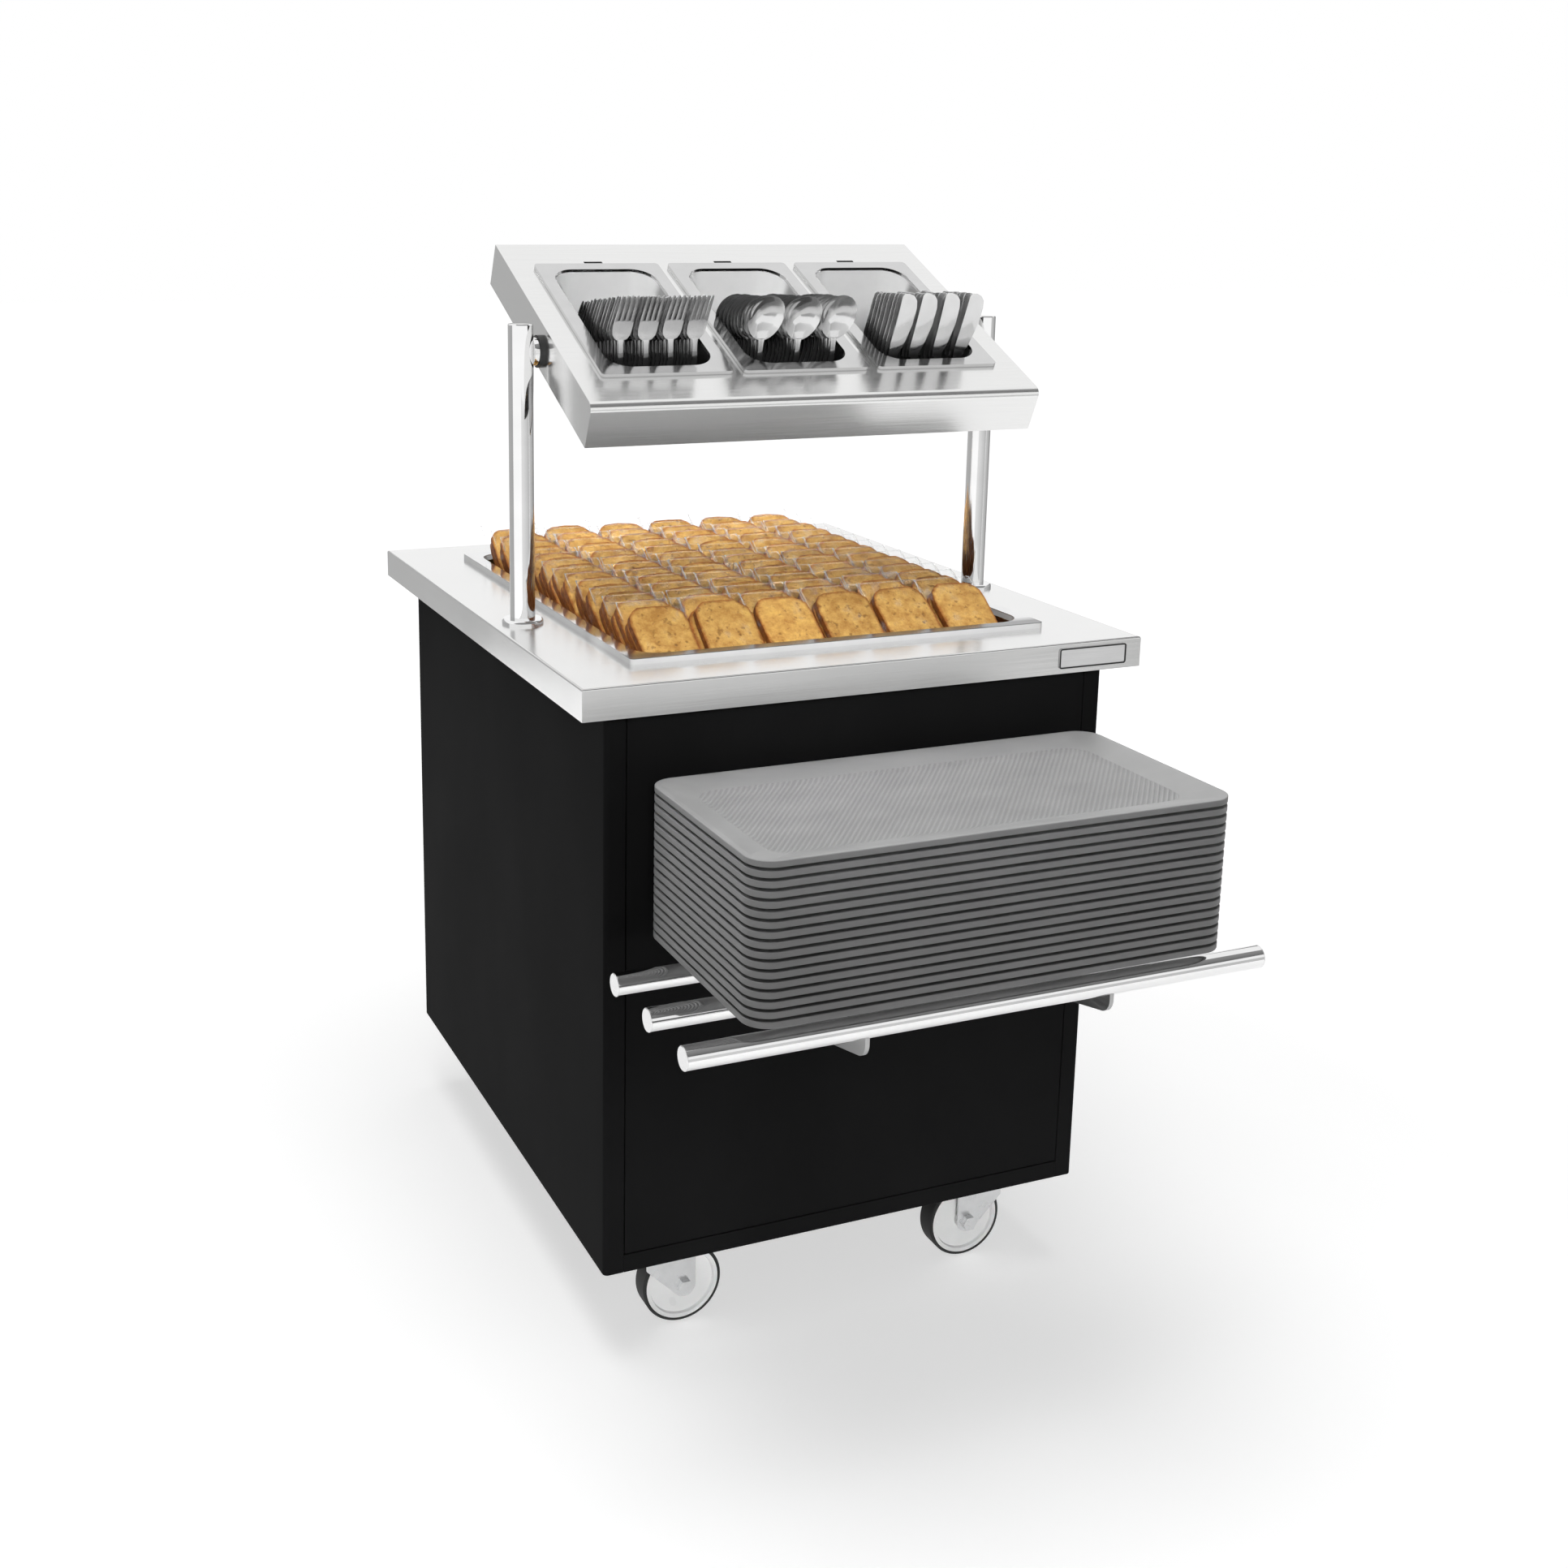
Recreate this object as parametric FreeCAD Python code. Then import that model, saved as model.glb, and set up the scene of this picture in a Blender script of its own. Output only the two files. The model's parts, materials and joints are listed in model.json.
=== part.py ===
import FreeCAD, Part
import math
import os

Vector = FreeCAD.Vector
os.makedirs("parts", exist_ok=True)

# Dispensing trolley in millimetres: X to the right, front with the trays towards -Y, Z up,
# floor at Z = 0. The whole depth, trays included, is centred on Y = 0.

# Stainless worktop, laid out around a two-by-one food pan
pan_width = 530.0
pan_length = 650.0
pan_depth = 33.0
side_margin = 85.0
front_margin = 78.0
rear_margin = 92.0
worktop_height = 818.0
worktop_edge = 36.0
steel_sheet = 1.5
fold_radius = 2.5
plate_width = 92.0
plate_height = 24.0
plate_from_side = 21.0
plate_corner = 3.2
plate_thickness = 1.0
frame_bar = 1.7
frame_proud = 0.5

# Rims of the pan and of the cutlery containers
pan_flange = 15.0
pan_lip = 7.0
pan_corner = 32.0
rim_corner = 5.0
container_length = 265.0
container_depth = 112.0
container_flange = 14.0
container_lip = 4.5
container_corner = 30.0
container_end_gap = 31.0
container_gap = 13.0
bottom_radius = 12.0
pan_draft = 5.0
container_draft = 9.0
cut_clearance = 2.0

# Wrapped bread in the pan: a pack is a pair of slices, and the packs lean back in rows
slice_width = 71.5
slice_height = 92.0
slice_thickness = 11.2
slice_foot_round = 14.0
slice_crown_round = 22.0
bread_lean = 55.0
bread_row_gap = 3.0
bread_column_gap = 7.5
bread_from_wall = 12.0

# Cabinet of faced board below the worktop
side_overhang = 35.0
front_overhang = 25.0
rear_overhang = 28.0
side_board = 24.0
panel_board = 18.0
base_board = 18.0
plinth_height = 22.0
skirt_drop = 12.0
board_round = 6.0
seam_width = 1.5
seam_depth = 4.0

# Posts and the tilting rack between them
post_diameter = 30.0
post_wall = 1.5
post_from_pan = 46.0
post_forward = 92.0
pivot_rise = 322.0
post_above_pivot = 31.0
collar_width = 10.0
collar_height = 6.0
cap_dome = 2.4
stud_diameter = 12.0
stud_reach = 20.0
insert_wall = 3.0
insert_length = 25.0
pivot_gap = 9.0
spacer_diameter = 38.0
spacer_length = 5.0
boss_diameter = 33.0
pin_diameter = 10.0
rack_length = 382.0
rack_depth = 54.0
rack_tilt = 25.0
rack_nose = 10.0
pivot_from_front = 177.0
pivot_drop = 33.0
containers_from_front = 58.0
slot_width = 24.0
slot_length = 12.0

# Tray slide of three rails, and the stacked trays
tray_width = 558.0
tray_length = 275.0
tray_corner = 28.0
tray_clearance = 5.0
tray_rim = 8.0
tray_slope = 36.0
tray_dish = 10.0
tray_wall = 3.0
tray_skirt = 7.0
tray_foot = 7.2
tray_count = 17
rail_diameter = 25.0
rail_wall = 1.5
rail_pitch = 92.0
rail_height = 517.0
rail_beyond_tray = 62.0
rail_behind_tray_front = 23.5
cap_flange = 2.0
cap_round = 0.8
cap_plug = 12.0
arm_spacing = 290.0
arm_sheet = 5.0
arm_nose = 30.0
arm_nose_round = 17.0
arm_root = 95.0
foot_width = 70.0
foot_height = 110.0

# Swivel castors
wheel_diameter = 100.0
tread = 4.0
tread_width = 28.0
hub_length = 34.0
castor_trail = 22.0
castor_from_side = 98.0
castor_from_front = 67.0
plate_long = 100.0
plate_short = 85.0
plate_sheet = 3.5
race_diameter = 58.0
race_height = 9.2
fork_sheet = 3.0
fork_eye = 14.0
wheel_to_crown = 12.0
axle_diameter = 10.0
kingpin_diameter = 12.0

# Clearances: running fits on pins and axles, faces that slide past each other, seats
running_fit = 0.05
slide_gap = 0.3
bolt_diameter = 6.0

# Positions that follow from the sizes above
worktop_width = pan_width + 2 * side_margin
worktop_depth = pan_length + front_margin + rear_margin
whole_depth = worktop_depth + tray_clearance + tray_length
worktop_back = whole_depth / 2
worktop_front = worktop_back - worktop_depth
worktop_under = worktop_height - worktop_edge
pan_y = worktop_front + front_margin + pan_length / 2
pan_floor = worktop_height + steel_sheet - pan_depth
pan_rise = pan_depth + pan_lip - steel_sheet
pan_inside_width = pan_width - 2 * pan_flange - 2 * steel_sheet
pan_inside_length = pan_length - 2 * pan_flange - 2 * steel_sheet
cabinet_half = worktop_width / 2 - side_overhang
cabinet_front = worktop_front + front_overhang
cabinet_back = worktop_back - rear_overhang
inner_half = cabinet_half - side_board
castor_height = wheel_diameter + wheel_to_crown + fork_sheet + slide_gap + race_height + plate_sheet
cabinet_bottom = castor_height - skirt_drop
post_x = pan_width / 2 + post_from_pan
post_y = (worktop_front + worktop_back) / 2 - post_forward
pivot_z = worktop_height + pivot_rise
post_top = pivot_z + post_above_pivot
rack_half = post_x - post_diameter / 2 - pivot_gap
container_width = (2 * rack_half - 2 * container_end_gap - 2 * container_gap) / 3
container_pitch = container_width + container_gap
container_v = -pivot_from_front + containers_from_front + container_length / 2
tray_y = -whole_depth / 2 + tray_length / 2
rail_front_y = -whole_depth / 2 + rail_behind_tray_front
rail_length = tray_width + 2 * rail_beyond_tray
rail_top = rail_height + rail_diameter / 2
tray_pitch = tray_wall + tray_foot
wheel_radius = wheel_diameter / 2

along_x = Vector(1, 0, 0)
along_y = Vector(0, 1, 0)
along_z = Vector(0, 0, 1)


def block(x0, x1, y0, y1, z0, z1):
    return Part.makeBox(x1 - x0, y1 - y0, z1 - z0, Vector(x0, y0, z0))


def rod(radius, start, end):
    run = end.sub(start)
    return Part.makeCylinder(radius, run.Length, start, run)


def moved(shape, offset):
    copy = shape.copy()
    copy.translate(offset)
    return copy


def turned(shape, degrees, axis, centre=Vector(0, 0, 0)):
    copy = shape.copy()
    copy.rotate(centre, axis, degrees)
    return copy


def rounded_wire(corners, z):
    # four corner arcs, each given as (x, y, radius) of its centre, joined by straight lines
    arcs = []
    for i, (x, y, radius) in enumerate(corners):
        arcs.append(Part.makeCircle(radius, Vector(x, y, z), along_z, 90 * i, 90 * (i + 1)))
    edges = []
    for i, arc in enumerate(arcs):
        after = arcs[(i + 1) % 4]
        edges.append(arc)
        edges.append(Part.makeLine(arc.valueAt(arc.LastParameter), after.valueAt(after.FirstParameter)))
    return Part.Wire(edges)


def outline(width, length, corner, z):
    # rectangle with rounded corners, centred on the Z axis
    a = width / 2 - corner
    b = length / 2 - corner
    return rounded_wire([(a, b, corner), (-a, b, corner), (-a, -b, corner), (a, -b, corner)], z)


def pad(wire, height):
    return Part.Face(wire).extrude(Vector(0, 0, height))


def taper(lower, upper):
    return Part.makeLoft([lower, upper], True, True)


def lathe(points):
    # closed profile of (radius, height) points, spun about the Z axis
    wire = Part.makePolygon([Vector(r, 0, h) for r, h in points + points[:1]])
    return Part.Face(wire).revolve(Vector(0, 0, 0), along_z, 360)


def hexagon(across, height):
    corner = across / math.sqrt(3)
    points = []
    for i in range(7):
        angle = math.radians(60 * i)
        points.append(Vector(corner * math.cos(angle), corner * math.sin(angle), 0))
    return pad(Part.makePolygon(points), height)


def rounded_edges(shape, radius, wanted):
    edges = [edge for edge in shape.Edges if wanted(edge.CenterOfMass)]
    return shape.makeFillet(radius, edges)


def near(a, b):
    return abs(a - b) < 0.01


def save(node, *solids):
    shape = solids[0] if len(solids) == 1 else Part.makeCompound(list(solids))
    shape.exportStep("parts/%s.step" % node)


# Pressed food pan: flat rim with a turned-down lip, drafted walls and a rounded bottom.
# The lip stands on Z = 0 and the rim is at the height of the lip.
def wall_profile(reach, draft, bottom, top, radius):
    # half section of the hollow, out from a corner's centre line to the sloping wall
    slope = math.atan2(draft, top - bottom)
    run = radius / math.tan((math.pi / 2 + slope) / 2)
    foot = reach - draft
    centre = Vector(foot - run, 0, bottom + radius)
    to_corner = Vector(run, 0, -radius).normalize()
    low = Vector(foot - run, 0, bottom)
    high = Vector(foot + run * math.sin(slope), 0, bottom + run * math.cos(slope))
    bend = Part.Arc(low, centre + to_corner * radius, high).toShape()
    points = [high, Vector(reach, 0, top), Vector(0, 0, top), Vector(0, 0, bottom), low]
    sides = [Part.makeLine(points[i], points[i + 1]) for i in range(4)]
    return Part.Face(Part.Wire([bend] + sides))


def pressed_form(width, length, corner, draft, bottom, top, radius):
    # four spun corners, four straight sides and the middle
    section = wall_profile(corner, draft, bottom, top, radius)
    a = width / 2 - corner
    b = length / 2 - corner
    spun = section.revolve(Vector(0, 0, 0), along_z, 90)
    end_side = section.extrude(Vector(0, 2 * b, 0))
    long_side = turned(section.extrude(Vector(0, 2 * a, 0)), 90, along_z)
    form = block(-a, a, -b, b, bottom, top)
    form = form.fuse([moved(spun, Vector(a, b, 0)),
                      moved(turned(spun, 90, along_z), Vector(-a, b, 0)),
                      moved(turned(spun, 180, along_z), Vector(-a, -b, 0)),
                      moved(turned(spun, 270, along_z), Vector(a, -b, 0)),
                      moved(end_side, Vector(a, -b, 0)),
                      moved(turned(end_side, 180, along_z), Vector(-a, b, 0)),
                      moved(long_side, Vector(a, b, 0)),
                      moved(turned(long_side, 180, along_z), Vector(-a, -b, 0))])
    return form.removeSplitter()


def pressed_pan(width, length, depth, flange, lip, corner, draft):
    s = steel_sheet
    inner_lip = outline(width - 2 * s, length - 2 * s, rim_corner - s, 0)
    rim = pad(outline(width, length, rim_corner, 0), lip).cut(pad(inner_lip, lip - s))
    body_width = width - 2 * flange
    body_length = length - 2 * flange
    outside = pressed_form(body_width, body_length, corner, draft, -depth, lip, bottom_radius)
    inside = pressed_form(body_width - 2 * s, body_length - 2 * s, corner - s, draft, s - depth, lip,
                          bottom_radius - s)
    return rim.fuse(outside).cut(inside).removeSplitter()


def pan_opening(width, length, flange, corner, bottom, height):
    wire = outline(width - 2 * flange + 2 * cut_clearance, length - 2 * flange + 2 * cut_clearance,
                   corner + cut_clearance, bottom)
    return pad(wire, height)


# Worktop of folded sheet over a board, both with the opening for the pan
worktop_opening = moved(pan_opening(pan_width, pan_length, pan_flange, pan_corner, worktop_under - 1,
                                    worktop_edge + 2), Vector(0, pan_y, 0))
stud_tops = [Vector(side * post_x, post_y, worktop_height) for side in (-1, 1)]


def make_worktop():
    half = worktop_width / 2
    skin = block(-half, half, worktop_front, worktop_back, worktop_under, worktop_height)
    skin = rounded_edges(skin, fold_radius, lambda c: near(c.z, worktop_height))
    s = steel_sheet
    inside = block(-half + s, half - s, worktop_front + s, worktop_back - s, worktop_under,
                   worktop_height - s)
    skin = skin.cut(inside).cut(worktop_opening)
    for top in stud_tops:
        skin = skin.cut(rod(stud_diameter / 2, top - along_z * 2 * s, top + along_z))
    return skin


def make_worktop_core():
    s = steel_sheet
    half = worktop_width / 2 - s
    core = block(-half, half, worktop_front + s, worktop_back - s, worktop_under, worktop_height - s)
    core = core.cut(worktop_opening)
    for top in stud_tops:
        mouth = top - along_z * s
        core = core.cut(rod(stud_diameter / 2 + insert_wall, mouth - along_z * insert_length, mouth))
    return core


def on_front_edge(shape):
    # stands a flat shape up on the front edge of the worktop, near its right end
    place = Vector(worktop_width / 2 - plate_from_side - plate_width / 2, worktop_front, worktop_height - worktop_edge / 2)
    return moved(turned(shape, 90, along_x), place)


def make_name_plate():
    # bare plate with rounded corners
    return on_front_edge(pad(outline(plate_width, plate_height, plate_corner, 0), plate_thickness))


def make_plate_frame():
    # dark raised frame along the plate's outline
    outer = outline(plate_width, plate_height, plate_corner, plate_thickness)
    inner = outline(plate_width - 2 * frame_bar, plate_height - 2 * frame_bar, plate_corner - frame_bar, plate_thickness)
    return on_front_edge(pad(outer, frame_proud).cut(pad(inner, frame_proud)))


save("worktop", make_worktop())
save("worktop_core", make_worktop_core())
save("name_plate", make_name_plate())
save("plate_frame", make_plate_frame())
save("pan", moved(pressed_pan(pan_width, pan_length, pan_depth, pan_flange, pan_lip, pan_corner, pan_draft),
                  Vector(0, pan_y, worktop_height)))


# Wrapped bread: as many leaning packs as the pan takes, each standing on its rear lower edge
def make_pack():
    # drawn flat with its back on Z = 0 and its foot along X, then leaned back
    half = slice_width / 2
    foot = slice_foot_round
    crown = slice_crown_round
    corners = [(half - crown, slice_height - crown, crown), (crown - half, slice_height - crown, crown),
               (foot - half, foot, foot), (half - foot, foot, foot)]
    pack = pad(rounded_wire(corners, 0), 2 * slice_thickness)
    return turned(pack, 90 - bread_lean, along_x)


def bread_places():
    lean = math.radians(bread_lean)
    row_pitch = (2 * slice_thickness + bread_row_gap) / math.cos(lean)
    first = pan_y - pan_inside_length / 2 + bread_from_wall + 2 * slice_thickness * math.cos(lean)
    last = pan_y + pan_inside_length / 2 - cut_clearance - pan_rise * math.tan(lean)
    rows = int((last - first) / row_pitch) + 1
    column_pitch = slice_width + bread_column_gap
    columns = int((pan_inside_width - 2 * bread_from_wall + bread_column_gap) / column_pitch)
    return [Vector((column - (columns - 1) / 2) * column_pitch, first + row * row_pitch, pan_floor + slide_gap)
            for row in range(rows) for column in range(columns)]


pack = make_pack()
save("bread_packs", *[moved(pack, place) for place in bread_places()])


# Cabinet: two side boards, a panel and a plinth strip front and rear, and the base
def make_side(side):
    outer = side * cabinet_half
    inner = side * inner_half
    board = block(min(outer, inner), max(outer, inner), cabinet_front, cabinet_back, cabinet_bottom,
                  worktop_under)
    middle = (cabinet_bottom + worktop_under) / 2
    return rounded_edges(board, board_round, lambda c: near(c.x, outer) and near(c.z, middle))


def make_panel(face, inward):
    # full sheet behind, with its face layer drawn in by a narrow seam all round
    low = cabinet_bottom + plinth_height
    ys = sorted([face + inward * seam_depth, face + inward * panel_board])
    sheet = block(-inner_half, inner_half, ys[0], ys[1], low, worktop_under)
    ys = sorted([face, face + inward * seam_depth])
    front = block(-inner_half + seam_width, inner_half - seam_width, ys[0], ys[1], low + seam_width,
                  worktop_under - seam_width)
    return sheet.fuse(front)


def make_plinth(face, inward):
    ys = sorted([face, face + inward * panel_board])
    return block(-inner_half, inner_half, ys[0], ys[1], cabinet_bottom, cabinet_bottom + plinth_height)


# Screw places of the two rail arms on the front panel
arm_screws = []
for arm_x in (-arm_spacing / 2, arm_spacing / 2):
    for across in (-1, 1):
        for up in (-1, 1):
            arm_screws.append(Vector(arm_x + across * (foot_width / 2 - 12), cabinet_front,
                                     rail_height - foot_height / 2 + up * (foot_height / 2 - 14) + 10))
screw_depth = panel_board - 4


def make_front_panel():
    panel = make_panel(cabinet_front, 1)
    for place in arm_screws:
        panel = panel.cut(rod(bolt_diameter / 2, place - along_y, place + along_y * screw_depth))
    return panel


# Castor places, each with the way its wheel trails
castors = {}
for end, y in (("f", cabinet_front + castor_from_front), ("r", cabinet_back - castor_from_front)):
    for hand, side in (("l", -1), ("r", 1)):
        castors[end + hand] = (Vector(side * (cabinet_half - castor_from_side), y, 0), -side)
castor_screws = []
for place, trail in castors.values():
    for across in (-1, 1):
        for along in (-1, 1):
            castor_screws.append(place + Vector(across * (plate_long / 2 - 12), along * (plate_short / 2 - 12),
                                                castor_height))


def make_base():
    base = block(-inner_half, inner_half, cabinet_front + panel_board, cabinet_back - panel_board,
                 castor_height, castor_height + base_board)
    for place in castor_screws:
        base = base.cut(rod(bolt_diameter / 2, place - along_z, place + along_z * screw_depth))
    return base


save("side_left", make_side(-1))
save("side_right", make_side(1))
save("front_panel", make_front_panel())
save("front_plinth", make_plinth(cabinet_front, 1))
save("rear_panel", make_panel(cabinet_back, -1))
save("rear_plinth", make_plinth(cabinet_back, -1))
save("base_plate", make_base())


# Posts: polished tubes on screwed feet, with collars and domed caps
def make_post(side):
    foot = Vector(side * post_x, post_y, worktop_height)
    top = Vector(side * post_x, post_y, post_top)
    return rod(post_diameter / 2, foot, top).cut(rod(post_diameter / 2 - post_wall, foot, top))


def make_collar():
    inner = post_diameter / 2
    outer = inner + collar_width
    return lathe([(inner, 0), (outer, 0), (outer, collar_height * 0.5), (outer - 0.8, collar_height * 0.8),
                  (outer - 2.5, collar_height), (inner, collar_height)])


def make_cap():
    inner = post_diameter / 2 - post_wall
    outer = post_diameter / 2
    return lathe([(0, -8), (inner, -8), (inner, 0), (outer, 0), (outer - 0.6, cap_dome * 0.5),
                  (outer * 0.6, cap_dome * 0.9), (0, cap_dome)])


def make_post_foot(top):
    plug = rod(post_diameter / 2 - post_wall, top, top + along_z * stud_reach)
    return plug.fuse(rod(stud_diameter / 2, top - along_z * stud_reach, top)).removeSplitter()


def make_insert(top):
    mouth = top - along_z * steel_sheet
    low = mouth - along_z * insert_length
    return rod(stud_diameter / 2 + insert_wall, low, mouth).cut(rod(stud_diameter / 2, low, mouth))


save("post_left", make_post(-1))
save("post_right", make_post(1))
save("post_collars", *[moved(make_collar(), top) for top in stud_tops])
save("post_caps", *[moved(make_cap(), Vector(top.x, top.y, post_top)) for top in stud_tops])
save("post_feet", *[make_post_foot(top) for top in stud_tops])
save("post_inserts", *[make_insert(top) for top in stud_tops])


# Tilting rack, drawn level around its pivot: V runs up the slope along Y, W is Z
def rack_profile(x, inset):
    front = -pivot_from_front + inset
    back = rack_length - pivot_from_front - inset
    top = pivot_drop - inset
    low = pivot_drop - rack_depth
    nose = rack_nose - inset
    bend = nose * (1 - math.sqrt(0.5))
    corner = Part.Arc(Vector(x, front, top - nose), Vector(x, front + bend, top - bend),
                      Vector(x, front + nose, top)).toShape()
    points = [Vector(x, front + nose, top), Vector(x, back, top), Vector(x, back, low), Vector(x, front, low),
              Vector(x, front, top - nose)]
    sides = [Part.makeLine(points[i], points[i + 1]) for i in range(4)]
    return Part.Face(Part.Wire([corner] + sides))


container_places = [Vector(i * container_pitch, container_v, pivot_drop) for i in (-1, 0, 1)]


def make_rack():
    half = rack_half - steel_sheet
    rack = rack_profile(-rack_half, 0).extrude(Vector(2 * rack_half, 0, 0))
    rack = rack.cut(rack_profile(-half, steel_sheet).extrude(Vector(2 * half, 0, 0)))
    for place in container_places:
        opening = pan_opening(container_width, container_length, container_flange, container_corner,
                              -2 * steel_sheet, 3 * steel_sheet)
        rack = rack.cut(moved(opening, place))
        back = place.y + container_length / 2 + 1
        rack = rack.cut(block(place.x - slot_width / 2, place.x + slot_width / 2, back, back + slot_length,
                              pivot_drop - 2 * steel_sheet, pivot_drop + 1))
    return rack.cut(rod(pin_diameter / 2 + running_fit, Vector(-rack_half, 0, 0), Vector(rack_half, 0, 0)))


def make_spacer(side):
    near_end = Vector(side * rack_half, 0, 0)
    far_end = Vector(side * (rack_half + spacer_length), 0, 0)
    ring = rod(spacer_diameter / 2, near_end, far_end)
    return ring.cut(rod(pin_diameter / 2 + running_fit, near_end, far_end))


def tilted(shape):
    return moved(turned(shape, rack_tilt, along_x), Vector(0, post_y, pivot_z))


def make_pivot_bolt(side):
    # boss saddled on the post, pin through the spacer and rack wall, head inside the rack
    middle = Vector(0, post_y, pivot_z)
    inner_head = rack_half - steel_sheet - slide_gap
    boss = rod(boss_diameter / 2, middle + along_x * side * (rack_half + spacer_length + slide_gap),
               middle + along_x * side * (rack_half + pivot_gap + 2.5))
    boss = boss.cut(rod(post_diameter / 2, Vector(side * post_x, post_y, pivot_z - 40),
                        Vector(side * post_x, post_y, pivot_z + 40)))
    pin = rod(pin_diameter / 2, middle + along_x * side * (inner_head - 1),
              middle + along_x * side * (rack_half + pivot_gap - 1))
    head = rod(pin_diameter, middle + along_x * side * (inner_head - 5), middle + along_x * side * inner_head)
    return boss.fuse(pin).fuse(head).removeSplitter()


save("rack", tilted(make_rack()))
save("rack_spacers", *[tilted(make_spacer(side)) for side in (-1, 1)])
save("pivot_bolts", *[make_pivot_bolt(side) for side in (-1, 1)])
container = pressed_pan(container_width, container_length, container_depth, container_flange, container_lip,
                        container_corner, container_draft)
for name, place in zip(("left", "middle", "right"), container_places):
    save("container_" + name, tilted(moved(container, place)))


# Tray slide: three tubes with end caps, laid in two arms screwed to the front panel
rail_ys = [rail_front_y + i * rail_pitch for i in range(3)]


def make_rail(y):
    half = rail_length / 2 - cap_flange
    start = Vector(-half, y, rail_height)
    end = Vector(half, y, rail_height)
    return rod(rail_diameter / 2, start, end).cut(rod(rail_diameter / 2 - rail_wall, start, end))


def make_rail_cap(side, y):
    inner = rail_diameter / 2 - rail_wall
    outer = rail_diameter / 2
    cap = lathe([(0, -cap_plug), (inner, -cap_plug), (inner, 0), (outer, 0), (outer, cap_flange - cap_round),
                 (outer - cap_round, cap_flange), (0, cap_flange)])
    cap = turned(cap, 90 * side, along_y)
    return moved(cap, Vector(side * (rail_length / 2 - cap_flange), y, rail_height))


def make_arm(x):
    # gusset with a rounded nose under the front rail, deepest at its foot plate
    top = rail_height - 2
    nose_y = rail_front_y - rail_diameter / 2 + 4
    root_y = cabinet_front - arm_sheet
    points = [Vector(x, root_y, top), Vector(x, nose_y, top), Vector(x, nose_y, rail_height - arm_nose),
              Vector(x, root_y, rail_height - arm_root), Vector(x, root_y, top)]
    web = Part.Face(Part.makePolygon(points)).extrude(Vector(arm_sheet, 0, 0))
    web.translate(Vector(-arm_sheet / 2, 0, 0))
    web = rounded_edges(web, arm_nose_round, lambda c: near(c.y, nose_y) and near(c.z, rail_height - arm_nose))
    foot = block(x - foot_width / 2, x + foot_width / 2, root_y, cabinet_front,
                 rail_height + 10 - foot_height, rail_height + 10)
    arm = web.fuse(foot)
    for y in rail_ys:
        arm = arm.cut(rod(rail_diameter / 2, Vector(x - arm_sheet, y, rail_height),
                          Vector(x + arm_sheet, y, rail_height)))
    for place in arm_screws:
        arm = arm.cut(rod(bolt_diameter / 2, place - along_y * 2 * arm_sheet, place))
    return arm.removeSplitter()


def make_bolt(shank):
    # hexagon-headed screw, head below Z = 0 and shank up along Z
    head = moved(hexagon(bolt_diameter * 1.67, bolt_diameter * 0.67), Vector(0, 0, -bolt_diameter * 0.67))
    return head.fuse(rod(bolt_diameter / 2, Vector(0, 0, 0), Vector(0, 0, shank))).removeSplitter()


for name, y in zip(("front", "middle", "rear"), rail_ys):
    save("rail_" + name, make_rail(y))
save("rail_caps", *[make_rail_cap(side, y) for side in (-1, 1) for y in rail_ys])
save("arm_left", make_arm(-arm_spacing / 2))
save("arm_right", make_arm(arm_spacing / 2))
arm_bolt = turned(make_bolt(arm_sheet + screw_depth), -90, along_x)
save("arm_bolts", *[moved(arm_bolt, place - along_y * arm_sheet) for place in arm_screws])


# Tray: shallow dish with a wide sloping border, a turned-down skirt and a foot frame below.
# Z = 0 is the top of the rim.
def make_tray():
    def ring(inset, corner, z):
        return outline(tray_width - 2 * inset, tray_length - 2 * inset, corner, z)

    rim = pad(ring(0, tray_corner, -tray_skirt), tray_skirt)
    rim = rim.cut(pad(ring(tray_wall, tray_corner - tray_wall, -tray_skirt), tray_skirt - tray_wall))
    border = tray_rim + tray_slope
    floor_corner = tray_corner - tray_rim
    dish = taper(ring(border, floor_corner, -tray_dish), ring(tray_rim, floor_corner, 0))
    tray = rim.fuse(moved(dish, Vector(0, 0, -tray_wall))).cut(dish)
    low = -tray_dish - tray_wall - tray_foot
    foot_x = tray_width / 2 - border - 20
    foot_y = tray_length / 2 - border - 8
    foot = block(-foot_x, foot_x, -foot_y, foot_y, low, low + tray_foot)
    foot = foot.cut(block(tray_wall - foot_x, foot_x - tray_wall, tray_wall - foot_y, foot_y - tray_wall, low,
                          low + tray_foot))
    return tray.fuse(foot).removeSplitter()


tray = make_tray()
lowest_rim = rail_top + slide_gap / 2 + tray_foot + tray_wall + tray_dish
trays = [moved(tray, Vector(0, tray_y, lowest_rim + i * tray_pitch)) for i in range(tray_count)]
save("tray_stack", *trays[:-2])
save("tray_second", trays[-2])
save("tray_top", trays[-1])


# Castor, drawn at the origin with its wheel trailing towards +X
plate_under = castor_height - plate_sheet
race_under = plate_under - race_height
crown_top = race_under - slide_gap
crown_under = crown_top - fork_sheet
leg_inside = hub_length / 2 + slide_gap
leg_outside = leg_inside + fork_sheet
axle_z = wheel_radius


def make_castor_plate():
    plate = block(-plate_long / 2, plate_long / 2, -plate_short / 2, plate_short / 2, plate_under,
                  castor_height)
    r = race_diameter / 2
    race = lathe([(0, race_under), (r - 3, race_under), (r, race_under + 3), (r, plate_under), (0, plate_under)])
    plate = plate.fuse(race)
    plate = plate.cut(rod(kingpin_diameter / 2, Vector(0, 0, race_under), Vector(0, 0, castor_height)))
    for across in (-1, 1):
        for along in (-1, 1):
            hole = Vector(across * (plate_long / 2 - 12), along * (plate_short / 2 - 12), plate_under)
            plate = plate.cut(rod(bolt_diameter / 2, hole, hole + along_z * plate_sheet))
    return plate.removeSplitter()


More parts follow.
